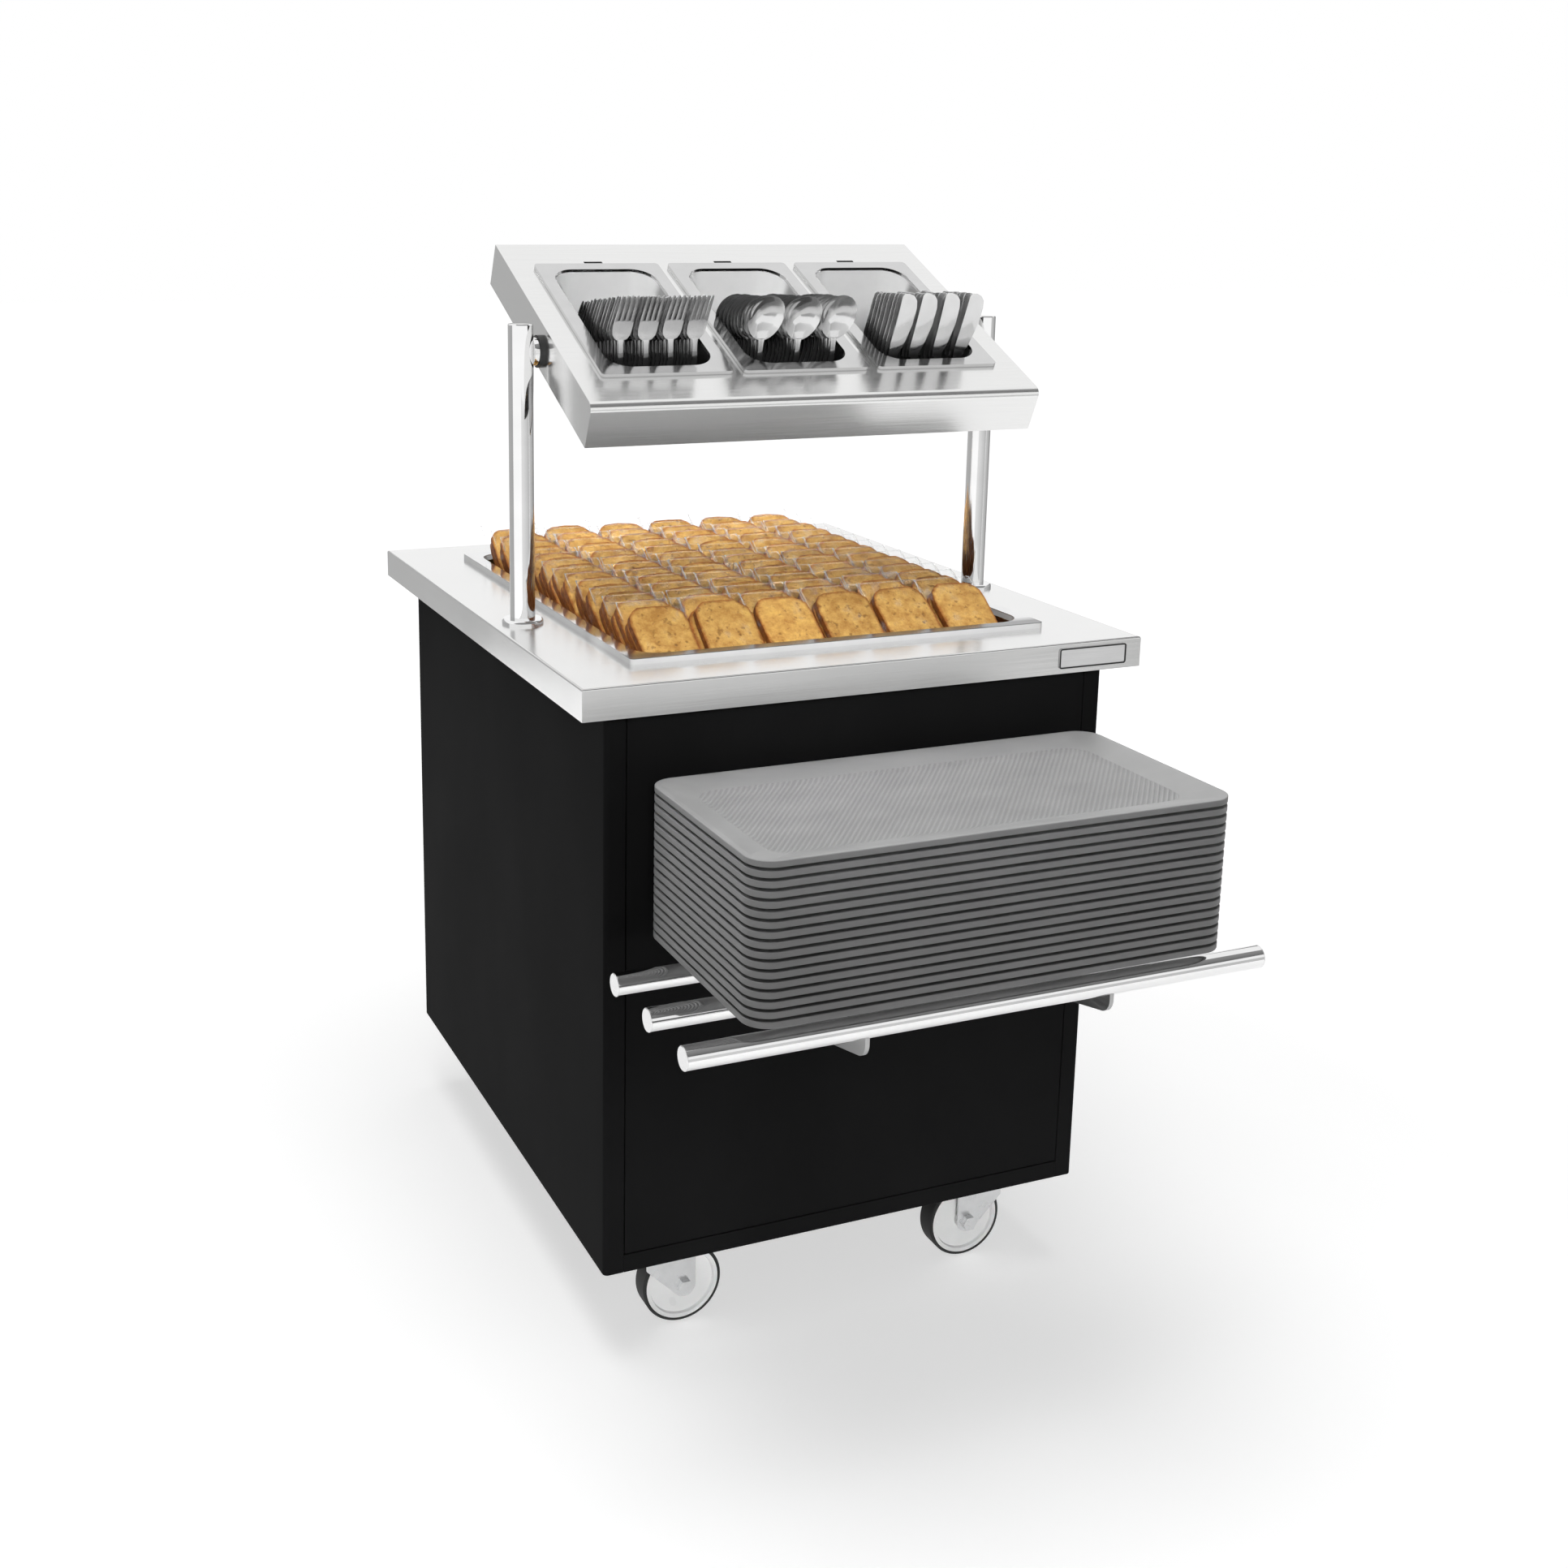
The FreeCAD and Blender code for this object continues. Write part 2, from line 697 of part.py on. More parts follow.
def make_kingpin():
    r = kingpin_diameter / 2
    top = crown_under - slide_gap
    return lathe([(0, top - 5), (r + 3, top - 5), (r + 4, top - 3), (r + 4, top), (r, top), (r, castor_height),
                  (0, castor_height)])


def make_fork():
    # legs fall straight behind and slope in front at 45 degrees to a round eye on the axle
    head = race_diameter / 2 + 1
    ahead = 4 - head
    behind = castor_trail + fork_eye
    tangent = fork_eye * math.sqrt(0.5)
    slope_top = axle_z + castor_trail - 2 * tangent - ahead
    crown = rod(head, Vector(0, 0, crown_under), Vector(0, 0, crown_top))
    crown = crown.fuse(block(0, behind, -leg_outside, leg_outside, crown_under, crown_top))
    legs = []
    for y in (-leg_outside, leg_inside):
        points = [Vector(ahead, y, crown_top), Vector(behind, y, crown_top), Vector(behind, y, axle_z),
                  Vector(castor_trail, y, axle_z), Vector(castor_trail - tangent, y, axle_z - tangent),
                  Vector(ahead, y, slope_top), Vector(ahead, y, crown_top)]
        leg = Part.Face(Part.makePolygon(points)).extrude(Vector(0, fork_sheet, 0))
        eye = rod(fork_eye, Vector(castor_trail, y, axle_z), Vector(castor_trail, y + fork_sheet, axle_z))
        legs.append(leg.fuse(eye))
    fork = crown.fuse(legs)
    fork = fork.cut(rod(kingpin_diameter / 2 + running_fit, Vector(0, 0, crown_under), Vector(0, 0, crown_top)))
    axle = rod(axle_diameter / 2, Vector(castor_trail, -leg_outside, axle_z),
               Vector(castor_trail, leg_outside, axle_z))
    return fork.cut(axle).removeSplitter()


def make_axle():
    # bolt with a hexagon head in front and a nut behind
    across = axle_diameter * 1.7
    start = Vector(castor_trail, -leg_outside, axle_z)
    end = Vector(castor_trail, leg_outside, axle_z)
    head = moved(turned(hexagon(across, 6.4), 90, along_x), start)
    nut = moved(turned(hexagon(across, 8), -90, along_x), end)
    shank = rod(axle_diameter / 2, start, end)
    return head.fuse(shank).fuse(nut).removeSplitter()


def make_wheel():
    # hub, dished face and a ring groove below the tread seat
    bore = axle_diameter / 2 + running_fit
    seat = wheel_radius - tread
    half = tread_width / 2 - 1
    face = [(bore, hub_length / 2), (bore + 7, hub_length / 2), (bore + 8.5, half - 3), (seat - 9, half - 2),
            (seat - 8, half - 4), (seat - 6, half - 4), (seat - 5, half), (seat, half)]
    profile = face + [(r, -y) for r, y in reversed(face)]
    return moved(turned(lathe(profile), 90, along_x), Vector(castor_trail, 0, axle_z))


def make_tyre():
    seat = wheel_radius - tread
    half = tread_width / 2
    profile = [(seat, -half), (wheel_radius - 1.5, -half), (wheel_radius, 2 - half), (wheel_radius, half - 2),
               (wheel_radius - 1.5, half), (seat, half)]
    return moved(turned(lathe(profile), 90, along_x), Vector(castor_trail, 0, axle_z))


def at_castor(shape, key):
    place, trail = castors[key]
    return moved(turned(shape, 0 if trail > 0 else 180, along_z), place)


fork = make_fork()
axle = make_axle()
wheel = make_wheel()
tyre = make_tyre()
save("castor_plates", *[at_castor(make_castor_plate(), key) for key in castors])
save("castor_kingpins", *[at_castor(make_kingpin(), key) for key in castors])
castor_bolt = make_bolt(plate_sheet + screw_depth)
save("castor_bolts", *[moved(castor_bolt, place - along_z * plate_sheet) for place in castor_screws])
for key in castors:
    save("fork_" + key, at_castor(fork, key))
    save("axle_" + key, at_castor(axle, key))
    save("wheel_" + key, at_castor(wheel, key))
    save("tyre_" + key, at_castor(tyre, key))
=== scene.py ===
import json
import math
import bpy
import bmesh
import numpy as np
from mathutils import Matrix


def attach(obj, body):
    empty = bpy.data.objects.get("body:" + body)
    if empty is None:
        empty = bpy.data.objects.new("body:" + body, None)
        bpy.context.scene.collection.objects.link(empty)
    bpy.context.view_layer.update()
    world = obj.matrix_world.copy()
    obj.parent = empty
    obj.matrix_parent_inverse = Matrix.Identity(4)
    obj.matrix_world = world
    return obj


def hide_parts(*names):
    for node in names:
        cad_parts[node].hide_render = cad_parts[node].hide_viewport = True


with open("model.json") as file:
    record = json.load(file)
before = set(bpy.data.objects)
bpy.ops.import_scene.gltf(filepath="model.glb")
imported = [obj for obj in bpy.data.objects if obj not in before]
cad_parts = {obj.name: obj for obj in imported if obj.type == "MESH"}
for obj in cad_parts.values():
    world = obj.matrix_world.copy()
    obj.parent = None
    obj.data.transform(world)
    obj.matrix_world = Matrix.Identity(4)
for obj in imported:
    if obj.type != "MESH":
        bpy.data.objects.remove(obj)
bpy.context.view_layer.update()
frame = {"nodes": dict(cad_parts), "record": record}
nodes = frame["nodes"]
bodyOf = {node: body for body, names in frame["record"]["behaviour"]["bodies"].items() for node in names}
slotOf = {part["node"]: part["material_slot"] for part in frame["record"]["subparts"]}
scene = bpy.context.scene


def turnedTo(right, up, back, place):
    # the first three columns are the object's own axes, the last one is where it stands
    turn = np.eye(4)
    turn[:3] = np.stack([right, up, back, place], axis=1)
    return Matrix(turn.tolist())


# camera at the photograph's place, pixel values for a 1932 x 1932 picture
photoCamera = {"focalPixels": 2340.5, "centrePixel": (850.0, 760.0), "frameSize": 1932.0, "sensor": 36.0,
               "eye": (-0.9959, -2.0689, 1.3296), "yaw": -0.4029, "pitch": -0.2229, "roll": 0.0122,
               "clip": (0.05, 60.0)}


def addPhotoCamera(c):
    # forward from yaw and pitch, right level with the floor, then both right and up turned by the roll
    sy, cy = math.sin(c["yaw"]), math.cos(c["yaw"])
    sp, cp = math.sin(c["pitch"]), math.cos(c["pitch"])
    sr, cr = math.sin(c["roll"]), math.cos(c["roll"])
    forward = np.array([-sy * cp, cy * cp, sp])
    flatRight = np.array([cy, sy, 0.0])
    flatUp = np.cross(flatRight, forward)
    right = cr * flatRight + sr * flatUp
    up = cr * flatUp - sr * flatRight
    data = bpy.data.cameras.new("photoCamera")
    data.sensor_fit = "HORIZONTAL"
    data.sensor_width = c["sensor"]
    data.lens = c["focalPixels"] / c["frameSize"] * c["sensor"]
    data.shift_x = (c["frameSize"] / 2 - c["centrePixel"][0]) / c["frameSize"]
    data.shift_y = (c["centrePixel"][1] - c["frameSize"] / 2) / c["frameSize"]
    data.clip_start, data.clip_end = c["clip"]
    camera = bpy.data.objects.new("photoCamera", data)
    scene.collection.objects.link(camera)
    camera.matrix_world = turnedTo(right, up, -forward, c["eye"])
    scene.camera = camera


addPhotoCamera(photoCamera)
print("camera set")


# shader nodes: an input that another node gives is linked, a plain one is set
def feed(tree, node, inputs):
    for key, value in inputs.items():
        if isinstance(value, bpy.types.NodeSocket):
            tree.links.new(value, node.inputs[key])
        else:
            node.inputs[key].default_value = value


def addNode(tree, kind, inputs=None, **settings):
    node = tree.nodes.new(kind)
    for key, value in settings.items():
        setattr(node, key, value)
    feed(tree, node, inputs or {})
    return node


def mathOf(tree, operation, *values):
    return addNode(tree, "ShaderNodeMath", dict(enumerate(values)), operation=operation).outputs[0]


def vectorOf(tree, operation, *values):
    node = addNode(tree, "ShaderNodeVectorMath", dict(enumerate(values)), operation=operation)
    return node.outputs["Value" if operation in ("LENGTH", "DOT_PRODUCT") else "Vector"]


def mixOf(tree, kind, factor, low, high):
    mix = addNode(tree, "ShaderNodeMix", {"Factor": factor, "A": low, "B": high}, data_type=kind)
    return mix.outputs["Result"]


def attributeOf(tree, name):
    return addNode(tree, "ShaderNodeAttribute", attribute_name=name).outputs["Fac"]


def rangeOf(tree, value, low, high, fromLow=0.3, fromHigh=0.7):
    # 0.3 to 0.7 is where most of a noise lies
    node = addNode(tree, "ShaderNodeMapRange", {"Value": value, "From Min": fromLow, "From Max": fromHigh,
                                                "To Min": low, "To Max": high})
    return node.outputs["Result"]


def objectPlace(tree, scale=(1, 1, 1), shift=(0, 0, 0)):
    coords = addNode(tree, "ShaderNodeTexCoord")
    mapping = addNode(tree, "ShaderNodeMapping", {"Vector": coords.outputs["Object"], "Scale": scale,
                                                  "Location": shift})
    return mapping.outputs["Vector"]


def noiseAt(tree, place, scale, detail, rough=0.55):
    noise = addNode(tree, "ShaderNodeTexNoise", {"Vector": place, "Scale": scale, "Detail": detail,
                                                 "Roughness": rough})
    return noise.outputs["Fac"]


def drawnNoise(tree, stretch, detail, rough=0.55):
    # noise with its own number of waves per metre along each axis
    return noiseAt(tree, objectPlace(tree, scale=stretch), 1.0, detail, rough)


def twoTones(tree, value, dark, light, low=0.3, high=0.7):
    ramp = addNode(tree, "ShaderNodeValToRGB", {"Fac": value})
    for end, position, tone in zip(ramp.color_ramp.elements, (low, high), (dark, light)):
        end.position = position
        end.color = (*tone, 1)
    return ramp.outputs["Color"]


def shadesOf(tree, value, colour, low, high):
    # the colour times low to the colour times high along the value, never past white
    c = np.array(colour)
    return twoTones(tree, value, tuple(c * low), tuple(np.minimum(c * high, 1.0)))


def sheenOf(tree, value, rough, change):
    return rangeOf(tree, value, rough + change[0], rough + change[1])


def bumpFrom(tree, shader, height, strength, distance):
    bump = addNode(tree, "ShaderNodeBump", {"Height": height, "Strength": strength, "Distance": distance})
    feed(tree, shader, {"Normal": bump.outputs["Normal"]})


def seenRays(tree):
    # 1 for what the eye, a polished surface or clear film shows, 0 for light on matt surfaces
    path = addNode(tree, "ShaderNodeLightPath")
    either = mathOf(tree, "MAXIMUM", path.outputs["Is Camera Ray"], path.outputs["Is Glossy Ray"])
    return mathOf(tree, "MAXIMUM", either, path.outputs["Is Transmission Ray"])


finishes = {}  # by name, as startFinish adds them


def startFinish(name, colour, rough, metallic=0.0, specular=0.5, coat=0.0, coatRough=0.1):
    mat = bpy.data.materials.new(name)
    mat.use_nodes = True
    tree = mat.node_tree
    shader = tree.nodes["Principled BSDF"]
    feed(tree, shader, {"Base Color": (*colour, 1), "Roughness": rough, "Metallic": metallic,
                        "Specular IOR Level": specular, "Coat Weight": coat, "Coat Roughness": coatRough})
    finishes[name] = mat
    return tree, shader


# soft white studio: white to the eye and in metal, dimmer as light on matt surfaces
dome = {"light": 0.10, "seen": 1.0}
lamps = {
    "key": {"watts": 100.0, "size": (2.2, 2.2), "spread": 180.0,
            "place": (-0.3, -0.1, 3.6), "aim": (0.0, 0.0, 0.6)},
    "fill": {"watts": 3.6, "size": (2.2, 2.2), "spread": 180.0,
             "place": (-1.8, -3.2, 2.2), "aim": (0.0, 0.0, 0.6)},
    "rack": {"watts": 4.0, "size": (0.8, 0.5), "spread": 30.0,
             "place": (-0.9, -2.3, 1.75), "aim": (0.0, 0.1, 1.17)},
    "low": {"watts": 1.7, "size": (1.4, 0.2), "spread": 40.0,
            "place": (-0.5, -1.9, 0.14), "aim": (0.0, -0.2, 0.06)},
}
# cards are grey sheets that only polished surfaces see, with a tone at each corner
cards = {
    "right": {"corners": [(2.6, -2.0, 0.0), (2.6, 2.3, 0.0), (2.6, 2.3, 2.2), (2.6, -2.0, 2.2)],
              "tones": (0.7, 0.15, 0.15, 0.7)},
    "leftBack": {"corners": [(-3.2, 0.4, 0.0), (-0.5, 4.0, 0.0), (-0.5, 4.0, 1.9), (-3.2, 0.4, 1.9)],
                 "tones": (0.42, 0.5, 0.5, 0.42)},
    "front": {"corners": [(-1.2, -2.6, 0.0), (2.6, -2.1, 0.0), (2.6, -2.1, 0.8), (-1.2, -2.6, 0.8)],
              "tones": (0.85, 0.5, 0.5, 0.85)},
    "ceiling": {"corners": [(-3.5, -5.0, 3.2), (4.0, -5.0, 3.2), (4.0, -0.8, 3.2), (-3.5, -0.8, 3.2)],
                "tones": (0.12, 0.12, 0.3, 0.3)},
}
# the floor glows to white away from the object, so that only the shadow shows
floorLook = {"size": 40.0, "tone": 0.6, "rough": 0.9, "glow": (0.6, 1.0), "glowReach": (1.0, 3.2)}


def addDome(d):
    world = bpy.data.worlds.new("studio")
    scene.world = world
    world.use_nodes = True
    tree = world.node_tree
    tree.nodes.clear()
    light = addNode(tree, "ShaderNodeBackground", {"Color": (1, 1, 1, 1), "Strength": d["light"]})
    seen = addNode(tree, "ShaderNodeBackground", {"Color": (1, 1, 1, 1), "Strength": d["seen"]})
    mix = addNode(tree, "ShaderNodeMixShader", {0: seenRays(tree), 1: light.outputs[0], 2: seen.outputs[0]})
    addNode(tree, "ShaderNodeOutputWorld", {0: mix.outputs[0]})


def addLamp(name, lamp):
    # its back points away from the aim and its side lies level
    data = bpy.data.lights.new(name + "Light", "AREA")
    data.energy = lamp["watts"]
    data.shape = "RECTANGLE"
    data.size, data.size_y = lamp["size"]
    data.spread = math.radians(lamp["spread"])
    light = bpy.data.objects.new(name + "Light", data)
    light.visible_glossy = False
    scene.collection.objects.link(light)
    place = np.array(lamp["place"])
    back = place - np.array(lamp["aim"])
    back = back / np.linalg.norm(back)
    side = np.cross([0.0, 0.0, 1.0], back)
    side = side / np.linalg.norm(side)
    light.matrix_world = turnedTo(side, np.cross(back, side), back, place)


def addSheet(name, corners):
    mesh = bpy.data.meshes.new(name)
    mesh.from_pydata(corners, [], [(0, 1, 2, 3)])
    sheet = bpy.data.objects.new(name, mesh)
    scene.collection.objects.link(sheet)
    return sheet


def addCard(name, card):
    wall = addSheet(name + "Card", card["corners"])
    wall.data.attributes.new("tone", "FLOAT", "POINT").data.foreach_set("value", card["tones"])
    wall.visible_camera = wall.visible_diffuse = wall.visible_shadow = wall.visible_transmission = False
    mat = bpy.data.materials.new(name + "Card")
    mat.use_nodes = True
    tree = mat.node_tree
    tree.nodes.clear()
    emit = addNode(tree, "ShaderNodeEmission", {"Color": (1, 1, 1, 1), "Strength": attributeOf(tree, "tone")})
    addNode(tree, "ShaderNodeOutputMaterial", {"Surface": emit.outputs[0]})
    wall.data.materials.append(mat)


def addFloor(f):
    h = f["size"] / 2
    floor = addSheet("floor", [(-h, -h, 0), (h, -h, 0), (h, h, 0), (-h, h, 0)])
    tree, shader = startFinish("paleFloor", (f["tone"],) * 3, f["rough"], specular=0.0)
    far = vectorOf(tree, "LENGTH", objectPlace(tree))
    glow = mathOf(tree, "MULTIPLY", seenRays(tree), rangeOf(tree, far, *f["glow"], *f["glowReach"]))
    feed(tree, shader, {"Emission Color": (1, 1, 1, 1), "Emission Strength": glow})
    floor.data.materials.append(finishes["paleFloor"])


addDome(dome)
for name, lamp in lamps.items():
    addLamp(name, lamp)
for name, card in cards.items():
    addCard(name, card)
addFloor(floorLook)
scene.view_settings.view_transform = "Standard"
print("studio set:", len(lamps), "lamps and", len(cards), "cards")


# the rack leans back about its pivot, given as (y, z): v runs up its slope and w stands off its face
rackPlace = {"pivot": (0.048, 1.140), "tilt": 25.0}
containerX = {"container_left": -0.175, "container_middle": 0.0, "container_right": 0.175}


def rackAxes():
    t = math.radians(rackPlace["tilt"])
    return {"v": (0.0, math.cos(t), math.sin(t)), "w": (0.0, -math.sin(t), math.cos(t))}


def rackPoint(x, v, w):
    # pivot plus v up the slope plus w off the face
    y0, z0 = rackPlace["pivot"]
    t = math.radians(rackPlace["tilt"])
    s, c = math.sin(t), math.cos(t)
    return np.stack([x, y0 + v * c - w * s, z0 + v * s + w * c], axis=-1)


def alongRack(tree, axis):
    y, z = rackPlace["pivot"]
    return vectorOf(tree, "DOT_PRODUCT", objectPlace(tree, shift=(0, -y, -z)), rackAxes()[axis])


# finishes: streaks, clouds and grains are in waves per metre, a tone multiplies the colour, a sheen is added
# to the roughness, and a bump is its strength and its depth; brushing's tone and lift go both ways
brushing = {"streak": (9.0, 520.0, 520.0), "cloud": (5, 5, 5), "tone": 0.05, "lift": 0.06,
            "sheen": (-0.03, 0.05), "bump": (0.05, 0.0004)}


def brushedSteel(name, colour, rough, **changes):
    # fine streaks: noise drawn out along the brushing direction, with faint clouds in the sheen
    b = {**brushing, **changes}
    tree, shader = startFinish(name, colour, rough, metallic=1.0)
    lines = drawnNoise(tree, b["streak"], detail=4.0, rough=0.62)
    clouds = drawnNoise(tree, b["cloud"], detail=2.0)
    sheen = mathOf(tree, "ADD", rangeOf(tree, lines, -b["lift"], b["lift"]),
                   sheenOf(tree, clouds, rough, b["sheen"]))
    feed(tree, shader, {"Base Color": shadesOf(tree, lines, colour, 1 - b["tone"], 1 + b["tone"]),
                        "Roughness": sheen})
    bumpFrom(tree, shader, lines, *b["bump"])


# here a sheen multiplies the roughness
polishing = {"smear": (14, 14, 30), "tone": (0.97, 1.02), "sheen": (0.6, 1.7)}


def polishedMetal(name, colour, rough):
    # soft smears in tone and sheen
    p = polishing
    tree, shader = startFinish(name, colour, rough, metallic=1.0)
    smears = drawnNoise(tree, p["smear"], detail=3.0)
    feed(tree, shader, {"Base Color": shadesOf(tree, smears, colour, *p["tone"]),
                        "Roughness": rangeOf(tree, smears, rough * p["sheen"][0], rough * p["sheen"][1])})


# faced board has a very fine pebble, moulded plastic a finer one
boardFace = {"grain": (900, 900, 900), "cloud": (4, 4, 3), "tone": (0.85, 1.2), "sheen": (-0.04, 0.06),
             "specular": 0.015, "bump": (0.08, 0.0003)}
moulding = {"grain": (1400, 1400, 1400), "cloud": (9, 9, 9), "tone": (0.93, 1.07), "sheen": (-0.05, 0.07),
            "specular": 0.4, "bump": (0.06, 0.0003)}


def grainedFace(name, colour, rough, face):
    # pebble in the bump, and a faint cloudy change in tone and sheen
    tree, shader = startFinish(name, colour, rough, specular=face["specular"])
    grain = drawnNoise(tree, face["grain"], detail=2.0)
    clouds = drawnNoise(tree, face["cloud"], detail=3.0)
    feed(tree, shader, {"Base Color": shadesOf(tree, clouds, colour, *face["tone"]),
                        "Roughness": sheenOf(tree, clouds, rough, face["sheen"])})
    bumpFrom(tree, shader, grain, *face["bump"])


trayLook = {"colour": (0.33, 0.33, 0.33), "rough": 0.42, "specular": 0.45, "ribPitch": 0.0052,
            "ribDepth": 0.0008, "ribShade": 0.12, "ribRun": (0.78, -0.62), "ribEnd": (-0.001, 0.0005),
            "centreY": -0.4125, "halfFloor": (0.2425, 0.102), "floorCorner": 0.026, "floorLift": 1.06,
            "grain": (1200, 1200, 1200), "grainShare": 0.12, "bump": 0.8,
            "scuff": (16, 30, 60), "tone": (0.92, 1.08), "sheen": (-0.06, 0.08)}


def ribbedTray(look):
    # ribs are a sine across the diagonal, kept inside the floor's outline: a box drawn in by its corners,
    # and all that lies within a corner's radius of it
    tree, shader = startFinish("trayPlastic", look["colour"], look["rough"], specular=look["specular"])
    place = objectPlace(tree, shift=(0, -look["centreY"], 0))
    run = [2 * math.pi / look["ribPitch"] * r for r in look["ribRun"]]
    wave = mathOf(tree, "SINE", vectorOf(tree, "DOT_PRODUCT", place, (*run, 0.0)))
    corner = look["floorCorner"]
    box = [half - corner for half in look["halfFloor"]]
    anyHeight = 9.0
    past = vectorOf(tree, "SUBTRACT", vectorOf(tree, "ABSOLUTE", place), (*box, anyHeight))
    far = vectorOf(tree, "LENGTH", vectorOf(tree, "MAXIMUM", past, (0, 0, 0)))
    inside = rangeOf(tree, far, 1.0, 0.0, corner + look["ribEnd"][0], corner + look["ribEnd"][1])
    ribs = mathOf(tree, "MULTIPLY", wave, inside)
    grain = mathOf(tree, "MULTIPLY", drawnNoise(tree, look["grain"], detail=2.0), look["grainShare"])
    bumpFrom(tree, shader, mathOf(tree, "ADD", ribs, grain), look["bump"], look["ribDepth"])
    scuffs = drawnNoise(tree, look["scuff"], detail=4.0)
    # painted shade and highlight: the colour darkens and lightens with the ribs' sine, and the floor inside
    # the outline is lightened by floorLift
    shade = mathOf(tree, "MULTIPLY", rangeOf(tree, ribs, 1 - look["ribShade"], 1 + look["ribShade"], -1.0, 1.0),
                   rangeOf(tree, inside, 1.0, look["floorLift"], 0.0, 1.0))
    tone = addNode(tree, "ShaderNodeHueSaturation", {
        "Value": shade, "Color": shadesOf(tree, scuffs, look["colour"], *look["tone"])})
    feed(tree, shader, {"Base Color": tone.outputs["Color"],
                        "Roughness": sheenOf(tree, scuffs, look["rough"], look["sheen"])})


# cutlery is bright above the containers' rims and darker down inside them, which is painted shade of the deep
# containers; its sheen multiplies too
cutleryLook = {"bright": 0.66, "pitShade": 0.10, "rough": 0.11, "metal": 0.91, "pitShadeW": (0.034, 0.056),
               "smear": (40, 40, 40), "tone": (0.94, 1.04), "sheen": (0.7, 1.6)}


def cutleryFinish(look):
    tree, shader = startFinish("cutlerySteel", (look["bright"],) * 3, look["rough"], metallic=look["metal"])
    # painted shade: the colour darkens as the piece goes down into the container, off the rack's face
    height = rangeOf(tree, alongRack(tree, "w"), look["pitShade"], look["bright"], *look["pitShadeW"])
    smears = drawnNoise(tree, look["smear"], detail=3.0)
    low, high = [look["rough"] * share for share in look["sheen"]]
    feed(tree, shader, {"Base Color": mathOf(tree, "MULTIPLY", height, rangeOf(tree, smears, *look["tone"])),
                        "Roughness": rangeOf(tree, smears, low, high)})


# the front run of the pan's flat rim, above rimZ, is dark grey and less glossy, a painted dark reflection,
# and the rim's edge, between edgeZ and rimZ, is pale and satin; steel and rim are grey and roughness
panLookPaintedRim = {"steel": (0.80, 0.09), "rim": (0.20, 0.16), "rimZ": 0.8246, "frontY": (-0.178, -0.160),
           "edgeZ": 0.8180, "edgeMetal": 0.45, "fade": 0.0006, "cloud": (30, 30, 30), "tone": (0.96, 1.02)}


def panFinish(look):
    tree, shader = startFinish("panSteel", (look["steel"][0],) * 3, look["steel"][1], metallic=1.0)
    split = addNode(tree, "ShaderNodeSeparateXYZ", {0: objectPlace(tree)})
    flat, above = [rangeOf(tree, split.outputs["Z"], 0.0, 1.0, look[key] - look["fade"], look[key])
                   for key in ("rimZ", "edgeZ")]
    # painted reflection: the flat rim's front run is darkened
    rim = mathOf(tree, "MULTIPLY", flat, rangeOf(tree, split.outputs["Y"], 1.0, 0.0, *look["frontY"]))
    grey, rough = [rangeOf(tree, rim, look["steel"][i], look["rim"][i], 0.0, 1.0) for i in (0, 1)]
    clouds = rangeOf(tree, drawnNoise(tree, look["cloud"], detail=3.0), *look["tone"])
    edge = mathOf(tree, "SUBTRACT", above, flat)
    feed(tree, shader, {"Base Color": mathOf(tree, "MULTIPLY", grey, clouds), "Roughness": rough,
                        "Metallic": rangeOf(tree, edge, 1.0, look["edgeMetal"], 0.0, 1.0)})


# a container is polished on its rim, above rimW; inside it is darker and rougher, which is painted shade, and
# its back wall, behind backV, is lighter and satin, which is painted light; each is grey, roughness and metal
containerLookPaintedLight = {"rim": (0.63, 0.14, 1.0), "inside": (0.42, 0.3, 1.0), "back": (0.66, 0.36, 0.3),
             "rimW": (0.033, 0.0345), "backV": (0.088, 0.100), "cloud": (40, 40, 40), "tone": (0.97, 1.02)}


def pressedSteel(look):
    # inside, then the back wall over it, then the rim over both
    tree, shader = startFinish("containerSteel", (look["rim"][0],) * 3, look["rim"][1], metallic=1.0)
    rim = rangeOf(tree, alongRack(tree, "w"), 0.0, 1.0, *look["rimW"])
    back = rangeOf(tree, alongRack(tree, "v"), 0.0, 1.0, *look["backV"])
    # painted shade inside and painted light on the back wall: lit and shaded greys of one steel
    grey, rough, metal = [mixOf(tree, "FLOAT", rim, mixOf(tree, "FLOAT", back, inside, wall), lip)
                          for inside, wall, lip in zip(look["inside"], look["back"], look["rim"])]
    clouds = rangeOf(tree, drawnNoise(tree, look["cloud"], detail=3.0), *look["tone"])
    feed(tree, shader, {"Base Color": mathOf(tree, "MULTIPLY", grey, clouds), "Roughness": rough,
                        "Metallic": metal})


brushedSteel("sheetSteel", (0.82, 0.82, 0.815), 0.17, tone=0.02, lift=0.035)
brushedSteel("plateSteel", (0.74, 0.74, 0.74), 0.33, streak=(16.0, 800.0, 800.0))
brushedSteel("armSteel", (0.45, 0.45, 0.45), 0.4, streak=(300.0, 20.0, 300.0))
brushedSteel("zincPlate", (0.74, 0.745, 0.75), 0.26, streak=(40.0, 40.0, 40.0), tone=0.06, lift=0.05)
polishedMetal("postChrome", (0.88, 0.88, 0.88), 0.045)
polishedMetal("railChrome", (0.84, 0.84, 0.84), 0.06)
polishedMetal("endDisc", (0.80, 0.80, 0.80), 0.22)
grainedFace("blackBoard", (0.011, 0.011, 0.0113), 0.6, boardFace)
grainedFace("rawBoard", (0.10, 0.085, 0.07), 0.6, boardFace)
grainedFace("blackPlastic", (0.012, 0.012, 0.012), 0.42, moulding)
grainedFace("wheelPlastic", (0.88, 0.88, 0.875), 0.3, moulding)
